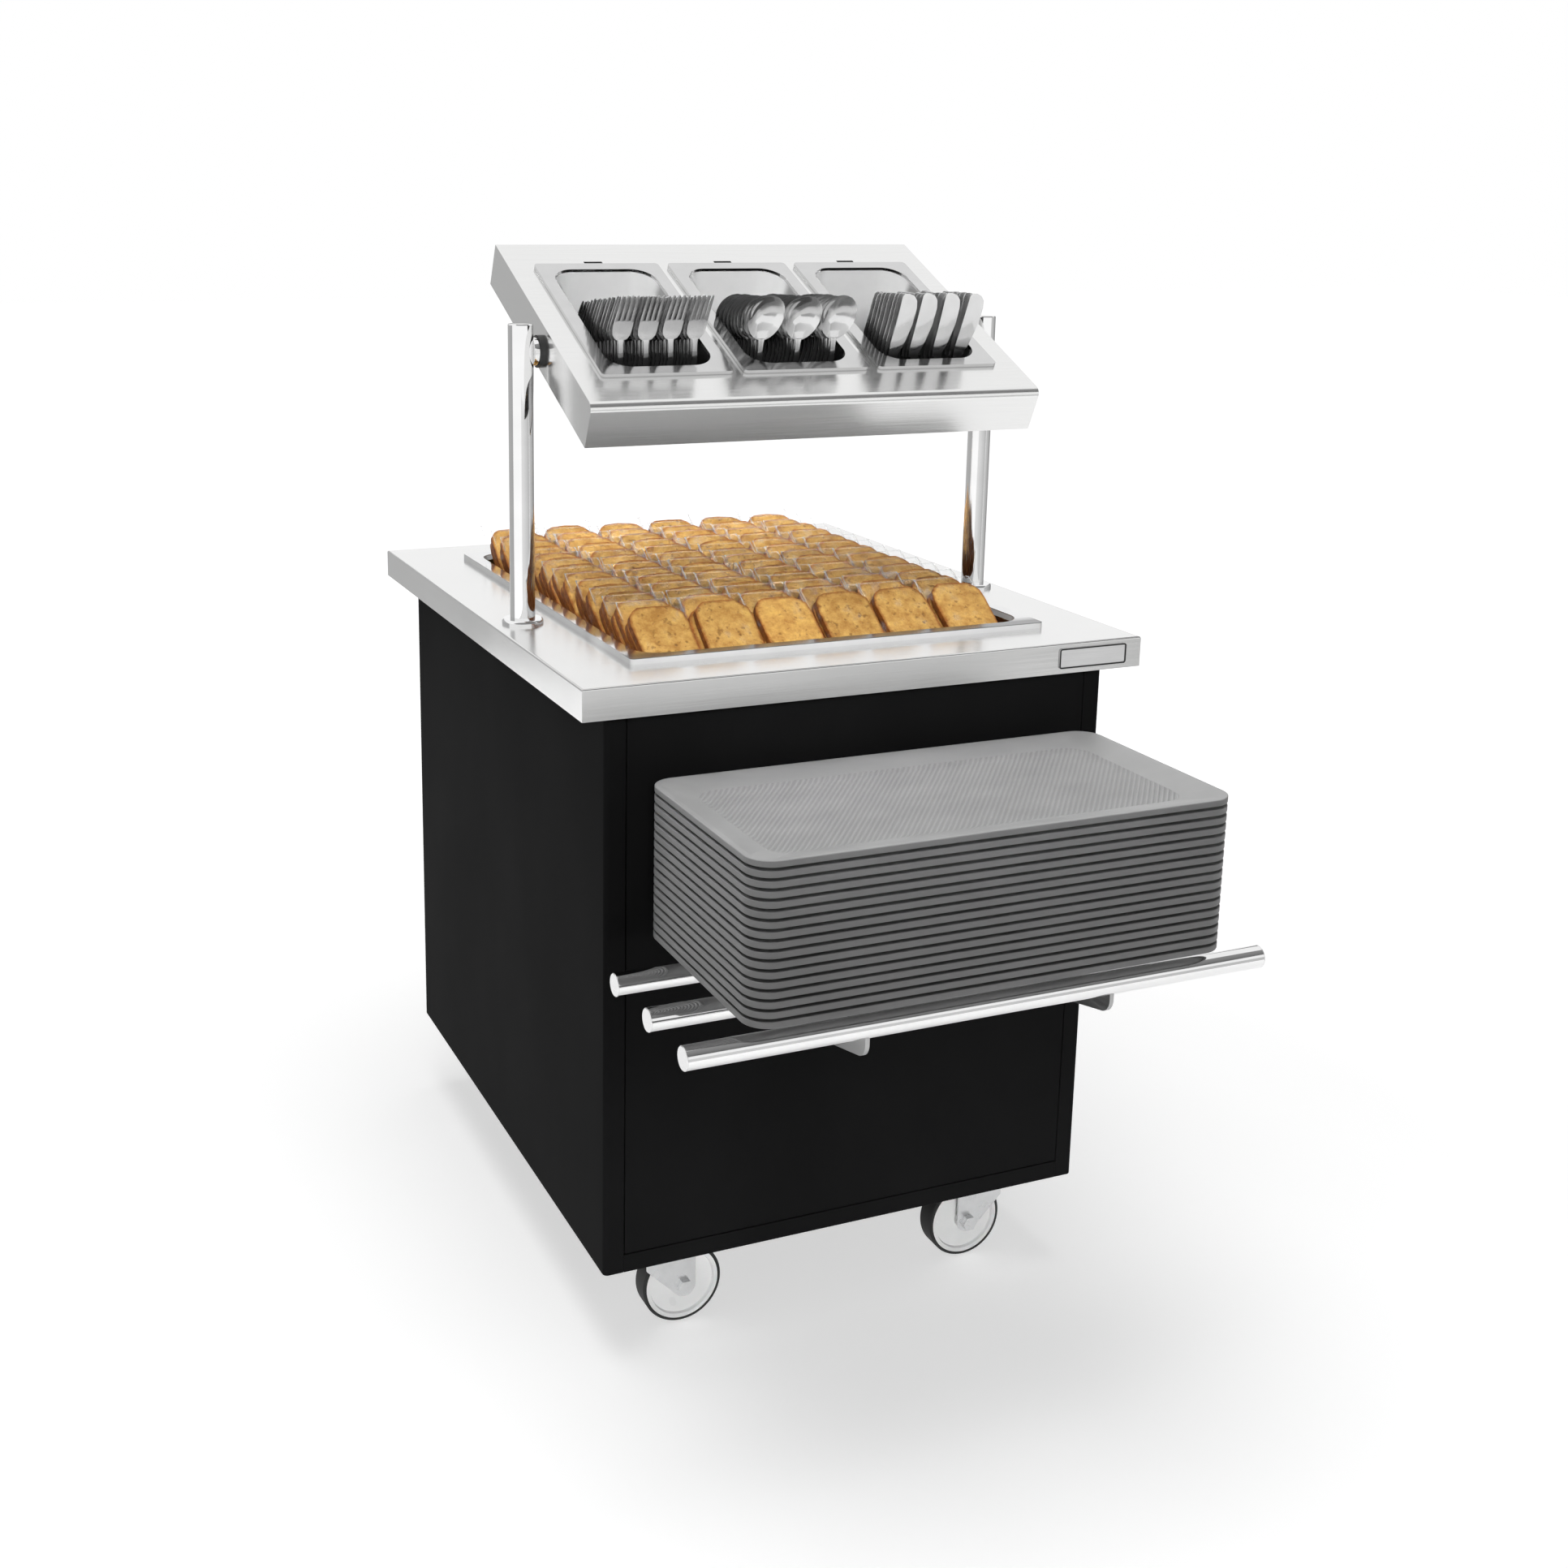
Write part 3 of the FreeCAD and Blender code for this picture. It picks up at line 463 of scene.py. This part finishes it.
grainedFace("treadRubber", (0.018, 0.018, 0.018), 0.62, moulding)
# painted shade: near black for the pockets under the rack's slots
grainedFace("pocketPaintedShade", (0.035, 0.035, 0.035), 0.8, {**moulding, "specular": 0.05})
ribbedTray(trayLook)
cutleryFinish(cutleryLook)
panFinish(panLookPaintedRim)
pressedSteel(containerLookPaintedLight)
slotFinish = {"stainless": "sheetSteel", "plate": "plateSteel", "black_board": "blackBoard",
              "core_board": "rawBoard", "post_chrome": "postChrome", "rail_chrome": "railChrome",
              "end_cap": "endDisc", "arm_steel": "armSteel", "zinc": "zincPlate",
              "black_plastic": "blackPlastic", "tray_grey": "trayPlastic", "wheel_grey": "wheelPlastic",
              "tread": "treadRubber"}
print("finishes made:", len(finishes))


# CAD pieces dressed: a merged copy with smooth rounds, crisp folds and a fine worn edge; angles in degrees
dressing = {"mergeAt": 1e-6, "flatAngle": 0.4, "sharpAngle": 32.0, "roundAngle": 40.0, "roundSteps": 2,
            "edgeRound": {"black_board": 0.0007, "arm_steel": 0.0005, "tray_grey": 0.0009, "zinc": 0.0003,
                          "plate": 0.0003},
            "special": {"pan": "panSteel", **{name: "containerSteel" for name in containerX}}}


def smoothShade(mesh, sharpAngle):
    mesh.polygons.foreach_set("use_smooth", np.ones(len(mesh.polygons), dtype=bool))
    mesh.set_sharp_from_angle(angle=math.radians(sharpAngle))


def putPiece(name, mesh, body, finish):
    piece = bpy.data.objects.new(name, mesh)
    scene.collection.objects.link(piece)
    mesh.materials.clear()
    mesh.materials.append(finishes[finish])
    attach(piece, body)
    return piece


def dressNode(node, slot):
    mesh = nodes[node].data.copy()
    mesh.name = node + "_look"
    bm = bmesh.new()
    bm.from_mesh(mesh)
    bmesh.ops.remove_doubles(bm, verts=bm.verts, dist=dressing["mergeAt"])
    flat = math.radians(dressing["flatAngle"])
    bmesh.ops.dissolve_limit(bm, angle_limit=flat, verts=bm.verts, edges=bm.edges)
    bm.to_mesh(mesh)
    bm.free()
    smoothShade(mesh, dressing["sharpAngle"])
    finish = dressing["special"].get(node, slotFinish[slot])
    piece = putPiece(node + "_look", mesh, bodyOf[node], finish)
    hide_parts(node)
    if slot in dressing["edgeRound"]:
        bevel = piece.modifiers.new("edgeRound", "BEVEL")
        bevel.width = dressing["edgeRound"][slot]
        bevel.segments = dressing["roundSteps"]
        bevel.limit_method = "ANGLE"
        bevel.angle_limit = math.radians(dressing["roundAngle"])
    weighted = piece.modifiers.new("evenShade", "WEIGHTED_NORMAL")
    weighted.keep_sharp = True


dressed = sorted(set(nodes) - {"bread_packs"})
for node in dressed:
    dressNode(node, slotOf[node])
print("CAD pieces dressed:", len(dressed))


# surfaces from grids and loops
newSharpAngle = 50.0  # degrees, below which the new pieces' edges are shaded smooth


def gridQuads(rows, cols, wrap=True):
    # each quad joins a point to its neighbours in the row and in the next row
    i = np.arange(rows - 1)[:, None]
    j = np.arange(cols if wrap else cols - 1)[None, :]
    k = (j + 1) % cols
    corners = [i * cols + j, i * cols + k, (i + 1) * cols + k, (i + 1) * cols + j]
    return np.stack(corners, axis=-1).reshape(-1, 4)


def sleeve(points):
    # rows of closed rings, with a flat end face on the first and the last ring
    rows, cols = points.shape[:2]
    ring = np.arange(cols)
    ends = [ring[::-1].tolist(), (ring + (rows - 1) * cols).tolist()]
    return points.reshape(-1, 3), gridQuads(rows, cols).tolist() + ends


def joinShapes(shapes):
    spots, faces, start = [], [], 0
    for points, polys in shapes:
        spots.append(points)
        faces += [[v + start for v in poly] for poly in polys]
        start += len(points)
    return np.concatenate(spots), faces


def meshOf(name, copies, faces, values=None):
    # copies is (number, points, 3): the same faces on each, with an optional value on each point
    number, points = copies.shape[:2]
    allFaces = [[v + n * points for v in poly] for n in range(number) for poly in faces]
    mesh = bpy.data.meshes.new(name)
    mesh.from_pydata(copies.reshape(-1, 3).tolist(), [], allFaces)
    for key, value in (values or {}).items():
        layer = mesh.attributes.new(key, "FLOAT", "POINT")
        spread = np.broadcast_to(value, (number, points)).astype(np.float32)
        layer.data.foreach_set("value", spread.ravel())
    smoothShade(mesh, newSharpAngle)
    mesh.update()
    return mesh


# dark pockets under the rack's slots, near black as painted shade inside them: v is their middle, top and
# floor are heights off the rack's plane
pockets = {"v": 0.153, "top": 0.0312, "floor": 0.0165, "inner": (0.0246, 0.0126), "round": 0.0012,
           "wall": 0.001, "cornerSteps": 3}


def roundLoop(width, height, corner, steps):
    # rectangle with an arc at each corner, as points (across, up)
    a = np.linspace(0, np.pi / 2, steps)[None, :] + np.arange(4)[:, None] * np.pi / 2
    across = np.array([1, -1, -1, 1])[:, None] * (width / 2 - corner) + corner * np.cos(a)
    up = np.array([1, 1, -1, -1])[:, None] * (height / 2 - corner) + corner * np.sin(a)
    return np.stack([across, up], axis=-1).reshape(-1, 2)


def slotPockets(p):
    # open box: rings run from its inside floor up, over the rim and down outside
    (width, height), wall = p["inner"], p["wall"]
    inner = roundLoop(width, height, p["round"], p["cornerSteps"])
    outer = roundLoop(width + 2 * wall, height + 2 * wall, p["round"] + wall, p["cornerSteps"])
    rings = [(inner, p["floor"] + wall), (inner, p["top"]), (outer, p["top"]), (outer, p["floor"])]

    def ringAt(x, loop, w):
        return rackPoint(x + loop[:, 0], p["v"] + loop[:, 1], np.full(len(loop), w))

    boxes = [np.stack([ringAt(x, loop, w) for loop, w in rings]) for x in containerX.values()]
    return np.stack([box.reshape(-1, 3) for box in boxes]), sleeve(boxes[0])[1]


pocketMesh = meshOf("slot_pockets", *slotPockets(pockets))
putPiece("slot_pockets", pocketMesh, "rack", "pocketPaintedShade")
print("slot pockets added:", len(containerX))


# wrapped bread in the pan: leaning pairs of slices, each pair in a clear sleeve
bread = {"rows": 13, "columns": 6, "rowPitch": 0.044283, "columnPitch": 0.079, "firstFoot": -0.1635,
         "footZ": 0.8052, "lean": 55.0, "width": 0.0715, "height": 0.092, "slice": 0.0109, "gap": 0.0006,
         "around": 18, "seed": 7,
         # powers below 1 square the outline, the taper widens it upwards, and where the angle's sine is
         # past crownFrom the crown is drawn in
         "crownPower": 0.52, "footPower": 0.34, "taper": 0.05, "crownFrom": 0.55, "crownIn": 0.05}
# rings from the front face to the back: share of the outline, share of half the thickness, how much crust
sliceRings = np.array([[0.86, 0.94, 0.0], [0.985, 0.8, 0.85], [1.0, 0.0, 1.0], [0.985, -0.8, 0.85],
                       [0.86, -0.94, 0.0]])
# how unevenly it lies: metres, with degrees for lean and roll, radians for sliceRoll and a share for outline
breadSpread = {"x": 0.0009, "y": 0.0006, "lean": 0.5, "lift": (0.0004, 0.0022), "roll": 0.9,
               "outline": 0.011, "sliceRoll": 0.006, "sliceShift": 0.0011}


def leanPlace(x, up, out, footY, footZ, lean):
    # up runs along the leaning slice, out stands off its front face
    s, c = np.sin(lean), np.cos(lean)
    return np.stack([x, footY + up * s - out * c, footZ + up * c + out * s], axis=-1)


def rowsAndColumns(rows, columns):
    return [g.ravel() for g in np.meshgrid(np.arange(rows), np.arange(columns), indexing="ij")]


def breadPairs(b, spread):
    # a grid of feet, each a little off its place
    rng = np.random.default_rng(b["seed"])
    row, column = rowsAndColumns(b["rows"], b["columns"])
    n = row.size
    return {"x": (column - (b["columns"] - 1) / 2) * b["columnPitch"] + rng.normal(0, spread["x"], n),
            "y": b["firstFoot"] + row * b["rowPitch"] + rng.normal(0, spread["y"], n),
            "lean": np.radians(b["lean"] + rng.normal(0, spread["lean"], n)),
            "lift": rng.uniform(*spread["lift"], n),
            "roll": np.radians(rng.normal(0, spread["roll"], n)), "rng": rng, "n": n}


def breadSlices(b, spread, pairs):
    # outline is a superellipse, square below and rounder at the crown; two slices stand one behind the other
    rng, n = pairs["rng"], pairs["n"]
    pairX, pairY, pairLean, pairLift = [pairs[key][:, None, None] for key in ("x", "y", "lean", "lift")]
    a = np.linspace(0, 2 * np.pi, b["around"], endpoint=False) + np.pi / b["around"]
    ca, sa = np.cos(a), np.sin(a)
    power = np.where(sa > 0, b["crownPower"], b["footPower"])
    ox = np.sign(ca) * np.abs(ca) ** power * b["width"] / 2
    oz = np.sign(sa) * np.abs(sa) ** power * b["height"] / 2
    ox = ox * (1 + b["taper"] * sa - b["crownIn"] * (sa > b["crownFrom"]))
    half, middle = b["slice"] / 2, b["height"] / 2
    share, depth = sliceRings[None, :, 0:1], sliceRings[None, :, 1:2]
    copies, shade = [], []
    for back in (0, 1):
        wobble = 1 + rng.normal(0, spread["outline"], (n, 1, b["around"]))
        x = share * ox[None, None, :] * wobble
        up = share * oz[None, None, :] * wobble
        out = np.broadcast_to(-half + depth * half - back * (b["slice"] + b["gap"]), x.shape)
        roll = (pairs["roll"] + rng.normal(0, spread["sliceRoll"], n))[:, None, None]
        shift = rng.normal(0, spread["sliceShift"], n)[:, None, None]
        rolledX = x * np.cos(roll) - up * np.sin(roll) + shift
        rolledUp = x * np.sin(roll) + up * np.cos(roll) + middle + pairLift
        spot = leanPlace(rolledX + pairX, rolledUp, out, pairY, b["footZ"], pairLean)
        copies.append(spot.reshape(n, -1, 3))
        shade.append(np.repeat(rng.uniform(0, 1, (n, 1)), copies[-1].shape[1], axis=1))
    faces = sleeve(np.zeros((len(sliceRings), b["around"], 3)))[1]
    crust = np.repeat(sliceRings[:, 2], b["around"])
    return np.concatenate(copies), faces, {"crust": crust[None, :], "loaf": np.concatenate(shade)}


# film over a pair: how far it stands past the bread, u across and v up its sheets, how steeply they swell
# from the edges, and where the sealed edge starts, how wide it is and from where up it shows
film = {"side": 0.0034, "top": 0.017, "foot": 0.001, "puff": 0.0016,
        "u": (-1.0, -0.92, -0.5, 0.5, 0.92, 1.0), "v": (-0.005, 0.0, 0.05, 0.5, 0.82, 0.96, 1.0),
        "swell": (8.0, 5.5), "sealFrom": (0.9, 0.95), "sealWidth": 0.06, "sealUp": (0.45, 0.3)}


def breadSleeves(b, f, pairs):
    # flat bag round each pair: front and back sheets puffed a little between sealed edges,
    # closed below the slices' foot
    su, sv = np.meshgrid(np.array(f["u"]), np.array(f["v"]))
    wide = b["width"] / 2 + f["side"]
    tall = b["height"] + f["top"]
    thick = b["slice"] + b["gap"] / 2
    swell = np.clip((1 - np.abs(su)) * f["swell"][0], 0, 1) * np.clip((1 - sv) * f["swell"][1], 0, 1)
    puff = swell * (sv >= 0) * (thick + f["puff"])
    front, back = [np.stack([su * wide, sv * tall + f["foot"], out], axis=-1).reshape(-1, 3)
                   for out in (-thick + puff, -thick - puff)]
    seal = np.clip(np.maximum(np.abs(su) - f["sealFrom"][0], sv - f["sealFrom"][1]) / f["sealWidth"], 0, 1)
    seal = seal * np.clip((sv - f["sealUp"][0]) / f["sealUp"][1], 0, 1)
    quads = gridQuads(*su.shape, wrap=False)
    faces = quads.tolist() + (quads[:, ::-1] + len(front)).tolist()
    x, up, out = np.concatenate([front, back]).T[:, None, :]
    pairX, pairY, pairLean, pairLift = [pairs[key][:, None] for key in ("x", "y", "lean", "lift")]
    spot = leanPlace(x + pairX, up + pairLift, out, pairY, b["footZ"], pairLean)
    return spot, faces, {"seal": np.tile(seal.ravel(), 2)[None, :]}


# each tone runs from dark to light; streaks are small and drawn out, holes few and larger, and both take a
# dark colour that is painted shade in the pores; a part whose name ends in Span is the stretch of its noise
# that counts
breadLook = {"crumb": ((0.38, 0.185, 0.042), (0.66, 0.405, 0.115)), "patch": 55.0, "patchSpan": (0.36, 0.64),
             "crust": ((0.17, 0.046, 0.008), (0.38, 0.120, 0.023)), "rind": 120.0, "crustSpan": (0.15, 0.85),
             "ragged": 160.0, "raggedBy": (-0.15, 0.15), "poreShade": (0.16, 0.065, 0.015),
             "streak": (150.0, 60.0, 230.0), "streakTone": 0.6, "streakSpan": (0.60, 0.70),
             "hole": 75.0, "holeStretch": (1.0, 0.6, 1.4), "holeTone": 0.75, "holeSpan": (0.55, 0.75),
             "holeEdge": (0.08, 0.2), "loafTone": (0.88, 1.08), "grain": 420.0, "bump": (0.6, 0.0012),
             "rough": 0.6, "specular": 0.25, "coat": 0.1, "coatRough": 0.25}


def breadFinish(look):
    # patchy crumb, pocked by streaks and by round holes in some cells, painted dark as shade in the pores,
    # browning to a ragged crust at the rim
    tree, shader = startFinish("breadCrumb", look["crumb"][1], look["rough"], specular=look["specular"],
                               coat=look["coat"], coatRough=look["coatRough"])
    place = objectPlace(tree)
    patches = noiseAt(tree, place, look["patch"], detail=6.0, rough=0.7)
    crumb = twoTones(tree, patches, *look["crumb"], *look["patchSpan"])
    lines = drawnNoise(tree, look["streak"], detail=2.0)
    streaks = rangeOf(tree, lines, 0.0, look["streakTone"], *look["streakSpan"])
    cells = addNode(tree, "ShaderNodeTexVoronoi", {
        "Vector": objectPlace(tree, scale=look["holeStretch"]), "Scale": look["hole"], "Randomness": 1.0})
    pick = addNode(tree, "ShaderNodeSeparateColor", {0: cells.outputs["Color"]})
    some = rangeOf(tree, pick.outputs[0], 0.0, look["holeTone"], *look["holeSpan"])
    hole = rangeOf(tree, cells.outputs["Distance"], 1.0, 0.0, *look["holeEdge"])
    deep = mathOf(tree, "MAXIMUM", streaks, mathOf(tree, "MULTIPLY", hole, some))
    # painted shade: streaks and holes take the dark pore colour
    pocked = mixOf(tree, "RGBA", deep, crumb, (*look["poreShade"], 1))
    uneven = rangeOf(tree, noiseAt(tree, place, look["ragged"], detail=3.0), *look["raggedBy"])
    ragged = mathOf(tree, "ADD", attributeOf(tree, "crust"), uneven)
    brown = rangeOf(tree, ragged, 0.0, 1.0, *look["crustSpan"])
    rind = twoTones(tree, noiseAt(tree, place, look["rind"], detail=3.0), *look["crust"])
    tone = addNode(tree, "ShaderNodeHueSaturation", {
        "Value": rangeOf(tree, attributeOf(tree, "loaf"), *look["loafTone"], 0.0, 1.0),
        "Color": mixOf(tree, "RGBA", brown, pocked, rind)})
    feed(tree, shader, {"Base Color": tone.outputs["Color"]})
    pits = mathOf(tree, "SUBTRACT", noiseAt(tree, place, look["grain"], detail=3.0), deep)
    bumpFrom(tree, shader, pits, *look["bump"])


# clear film: all but unseen on its flats, with painted glints, pale patches on its wrinkles, and a thin pale
# line along the seals
filmLook = {"colour": (0.72, 0.72, 0.73), "rough": 0.1, "wrinkle": (55, 55, 55), "paintedGlint": (0.003, 0.16),
            "paintedGlintSpan": (0.57, 0.70), "seal": 0.42, "sealSpan": (0.55, 1.0), "bump": (0.35, 0.004)}


def filmFinish(look):
    tree, shader = startFinish("clearFilm", look["colour"], look["rough"])
    wrinkle = drawnNoise(tree, look["wrinkle"], detail=3.0)
    # painted highlight: the film turns pale and less clear on its wrinkles
    paintedGlint = rangeOf(tree, wrinkle, *look["paintedGlint"], *look["paintedGlintSpan"])
    seal = rangeOf(tree, attributeOf(tree, "seal"), 0.0, look["seal"], *look["sealSpan"])
    feed(tree, shader, {"Alpha": mathOf(tree, "MAXIMUM", seal, paintedGlint)})
    bumpFrom(tree, shader, wrinkle, *look["bump"])


breadFinish(breadLook)
filmFinish(filmLook)
pairs = breadPairs(bread, breadSpread)
sliceMesh = meshOf("bread_slices", *breadSlices(bread, breadSpread, pairs))
slices = putPiece("bread_slices", sliceMesh, "pan", "breadCrumb")
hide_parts("bread_packs")
sleeveMesh = meshOf("bread_sleeves", *breadSleeves(bread, film, pairs))
putPiece("bread_sleeves", sleeveMesh, "pan", "clearFilm")
print("bread laid:", pairs["n"], "wrapped pairs")


# cutlery standing in the containers; along is up the piece from the foot of its neck, across is X,
# out faces the front of the rack; a handle's halves and its neck's stations are shares of each piece's own
handle = {"at": (-0.095, -0.09, -0.06, -0.02), "half": (0.75, 1.0, 0.9, 0.6), "thick": 0.0011,
          "neckAt": (0.0, 0.4, 0.75, 1.0), "neckHalf": (1.15, 1.0, 1.05, 1.3)}


def bladeSweep(stations, half, thick, bow, centre=0.0, around=8):
    # flattened ring carried up the piece: half width, half thickness and bow are given at each station
    squareness = 0.6  # power of the ring's sine and cosine, 1 for an ellipse
    a = np.linspace(0, 2 * np.pi, around, endpoint=False) + np.pi / around
    ca, sa = [np.sign(s) * np.abs(s) ** squareness for s in (np.cos(a), np.sin(a))]
    x = np.asarray(centre)[..., None] + np.asarray(half)[:, None] * ca[None, :]
    along = np.broadcast_to(np.asarray(stations)[:, None], x.shape)
    out = np.asarray(bow)[:, None] + np.broadcast_to(thick, len(along))[:, None] * sa[None, :]
    return sleeve(np.stack([x, along, out], axis=-1))


def handleSweep(neckTop, neckHalf, handleHalf, leanBack=0.0):
    # a long handle that narrows to the neck, which leans back as it rises
    at = np.concatenate([handle["at"], neckTop * np.array(handle["neckAt"])])
    half = np.concatenate([handleHalf * np.array(handle["half"]), neckHalf * np.array(handle["neckHalf"])])
    return bladeSweep(at, half, handle["thick"], -leanBack * np.clip(at / neckTop, 0, 1))


# stations up the piece, with half width and bow at each; the tines close up a little towards their tips
fork = {"palmAt": (0.020, 0.0225, 0.027, 0.033, 0.039, 0.0455),
        "palmHalf": (0.0040, 0.0080, 0.0112, 0.0122, 0.0123, 0.0121),
        "palmBow": (-0.0090, -0.0094, -0.0098, -0.0097, -0.0091, -0.0080), "palmThick": 0.0009,
        "tineAt": (0.0445, 0.052, 0.060, 0.068, 0.075, 0.080, 0.0815),
        "tineHalf": (0.0022, 0.0020, 0.0019, 0.0018, 0.0016, 0.0012, 0.0005),
        "tineBow": (-0.0082, -0.0067, -0.0050, -0.0032, -0.0014, 0.0000, 0.0004), "tineThick": 0.0008,
        "tines": 4, "tinePitch": 0.0064, "closeUp": 0.05,
        "neck": {"neckTop": 0.0215, "neckHalf": 0.0031, "handleHalf": 0.0075, "leanBack": 0.0092}}


def forkShape():
    # neck leaning back, a rounded palm and four tines that narrow and bow forward to their tips
    at = np.array(fork["tineAt"])
    pitch = fork["tinePitch"] * (1 - fork["closeUp"] * (at - at[0]) / (at[-1] - at[0]))
    shapes = [handleSweep(**fork["neck"]),
              bladeSweep(fork["palmAt"], fork["palmHalf"], fork["palmThick"], fork["palmBow"])]
    for i in range(fork["tines"]):
        shapes.append(bladeSweep(at, fork["tineHalf"], fork["tineThick"], fork["tineBow"],
                                 centre=(i - (fork["tines"] - 1) / 2) * pitch, around=6))
    return joinShapes(shapes)


# rings run from inside the hollow over the lip to the back; wall is how far each lies behind the hollow
spoon = {"half": 0.0230, "long": 0.0290, "middle": 0.0475, "egg": 0.10, "dish": 0.0090, "setBack": 0.004,
         "rings": (0.05, 0.45, 0.75, 0.93, 1.0, 0.94, 0.76, 0.45, 0.05), "around": 24,
         "wall": (0, 0, 0, 0, 0.0005, 0.0011, 0.0011, 0.0011, 0.0011),
         "neck": {"neckTop": 0.0205, "neckHalf": 0.0031, "handleHalf": 0.0085, "leanBack": 0.005}}


def spoonShape():
    # bowl is an egg outline dished forward: depth falls off with the square of the ring's size
    a = np.linspace(0, 2 * np.pi, spoon["around"], endpoint=False)[None, :]
    ring = np.array(spoon["rings"])[:, None]
    x = ring * spoon["half"] * np.cos(a) * (1 + spoon["egg"] * np.sin(a))
    along = spoon["middle"] + ring * spoon["long"] * np.sin(a)
    depth = spoon["dish"] * (1 - ring ** 2) + np.array(spoon["wall"])[:, None]
    out = np.broadcast_to(-depth - spoon["setBack"], x.shape)
    bowl = np.stack([x, along, out], axis=-1)[:, ::-1]
    return joinShapes([handleSweep(**spoon["neck"]), sleeve(bowl)])


# stations up the blade; its centre moves across, which keeps the back straight and gives the belly
knife = {"at": (0.0, 0.006, 0.016, 0.044, 0.066, 0.076, 0.082, 0.085),
         "half": (0.0052, 0.0072, 0.0092, 0.0116, 0.0117, 0.0106, 0.0078, 0.0030),
         "centre": (-0.0030, -0.0020, -0.0004, 0.0022, 0.0022, 0.0010, -0.0012, -0.0036),
         "thick": (0.0013, 0.0012, 0.0011, 0.001, 0.001, 0.0009, 0.0007, 0.0004),
         "neck": {"neckTop": 0.004, "neckHalf": 0.0045, "handleHalf": 0.0080}}


def knifeShape():
    # straight back, belly and a rounded tip
    flat = np.zeros(len(knife["at"]))
    blade = bladeSweep(knife["at"], knife["half"], knife["thick"], flat, centre=knife["centre"], around=10)
    return joinShapes([handleSweep(**knife["neck"]), blade])


# first is the front row's place as (v, w), step leads to the next row behind it
cutlery = {
    "forks": {"body": "container_left", "shape": forkShape, "columns": 4, "pitch": 0.0304, "layers": 13,
              "first": (-0.0815, 0.033), "step": (0.0098, -0.0058), "seed": 11},
    "spoons": {"body": "container_middle", "shape": spoonShape, "columns": 3, "pitch": 0.0470, "layers": 10,
               "first": (-0.083, 0.034), "step": (0.0090, -0.0046), "seed": 12},
    "knives": {"body": "container_right", "shape": knifeShape, "columns": 4, "pitch": 0.0306, "layers": 8,
               "first": (-0.087, 0.031), "step": (0.0092, -0.0046), "seed": 13},
}
# how unevenly they stand, in metres and degrees, and where their handles have to end
cutlerySpread = {"x": 0.0006, "v": 0.0007, "w": 0.0006, "lean": (1.0, 0.5), "sway": 0.7,
                 "floorW": -0.0735, "floorGap": 0.0005}


def standCutlery(c, spread):
    # rows of the same piece, each layer further up the slope; handles are cut short above the floor
    rng = np.random.default_rng(c["seed"])
    points, faces = c["shape"]()
    layer, column = rowsAndColumns(c["layers"], c["columns"])
    n = layer.size
    columnX = containerX[c["body"]] + (column - (c["columns"] - 1) / 2) * c["pitch"]
    x0 = columnX + rng.normal(0, spread["x"], n)
    v0 = c["first"][0] + layer * c["step"][0] + rng.normal(0, spread["v"], n)
    w0 = c["first"][1] + layer * c["step"][1] + rng.normal(0, spread["w"], n)
    lean = np.radians(rng.normal(*spread["lean"], n))[:, None]
    sway = np.radians(rng.normal(0, spread["sway"], n))[:, None]
    room = (w0 - spread["floorW"]) / (spread["floorGap"] - handle["at"][0])
    x, along, out = points.T[:, None, :]
    along = np.where(along < 0, along * np.minimum(room, 1.0)[:, None], along)
    across = x0[:, None] + x * np.cos(sway) + along * np.sin(sway)
    v = v0[:, None] + along * np.sin(lean) - out
    w = w0[:, None] + along * np.cos(lean)
    return rackPoint(across, v, w), faces


for name, c in cutlery.items():
    copies, faces = standCutlery(c, cutlerySpread)
    putPiece(name, meshOf(name, copies, faces), c["body"], "cutlerySteel")
    print(name, "stood:", len(copies))
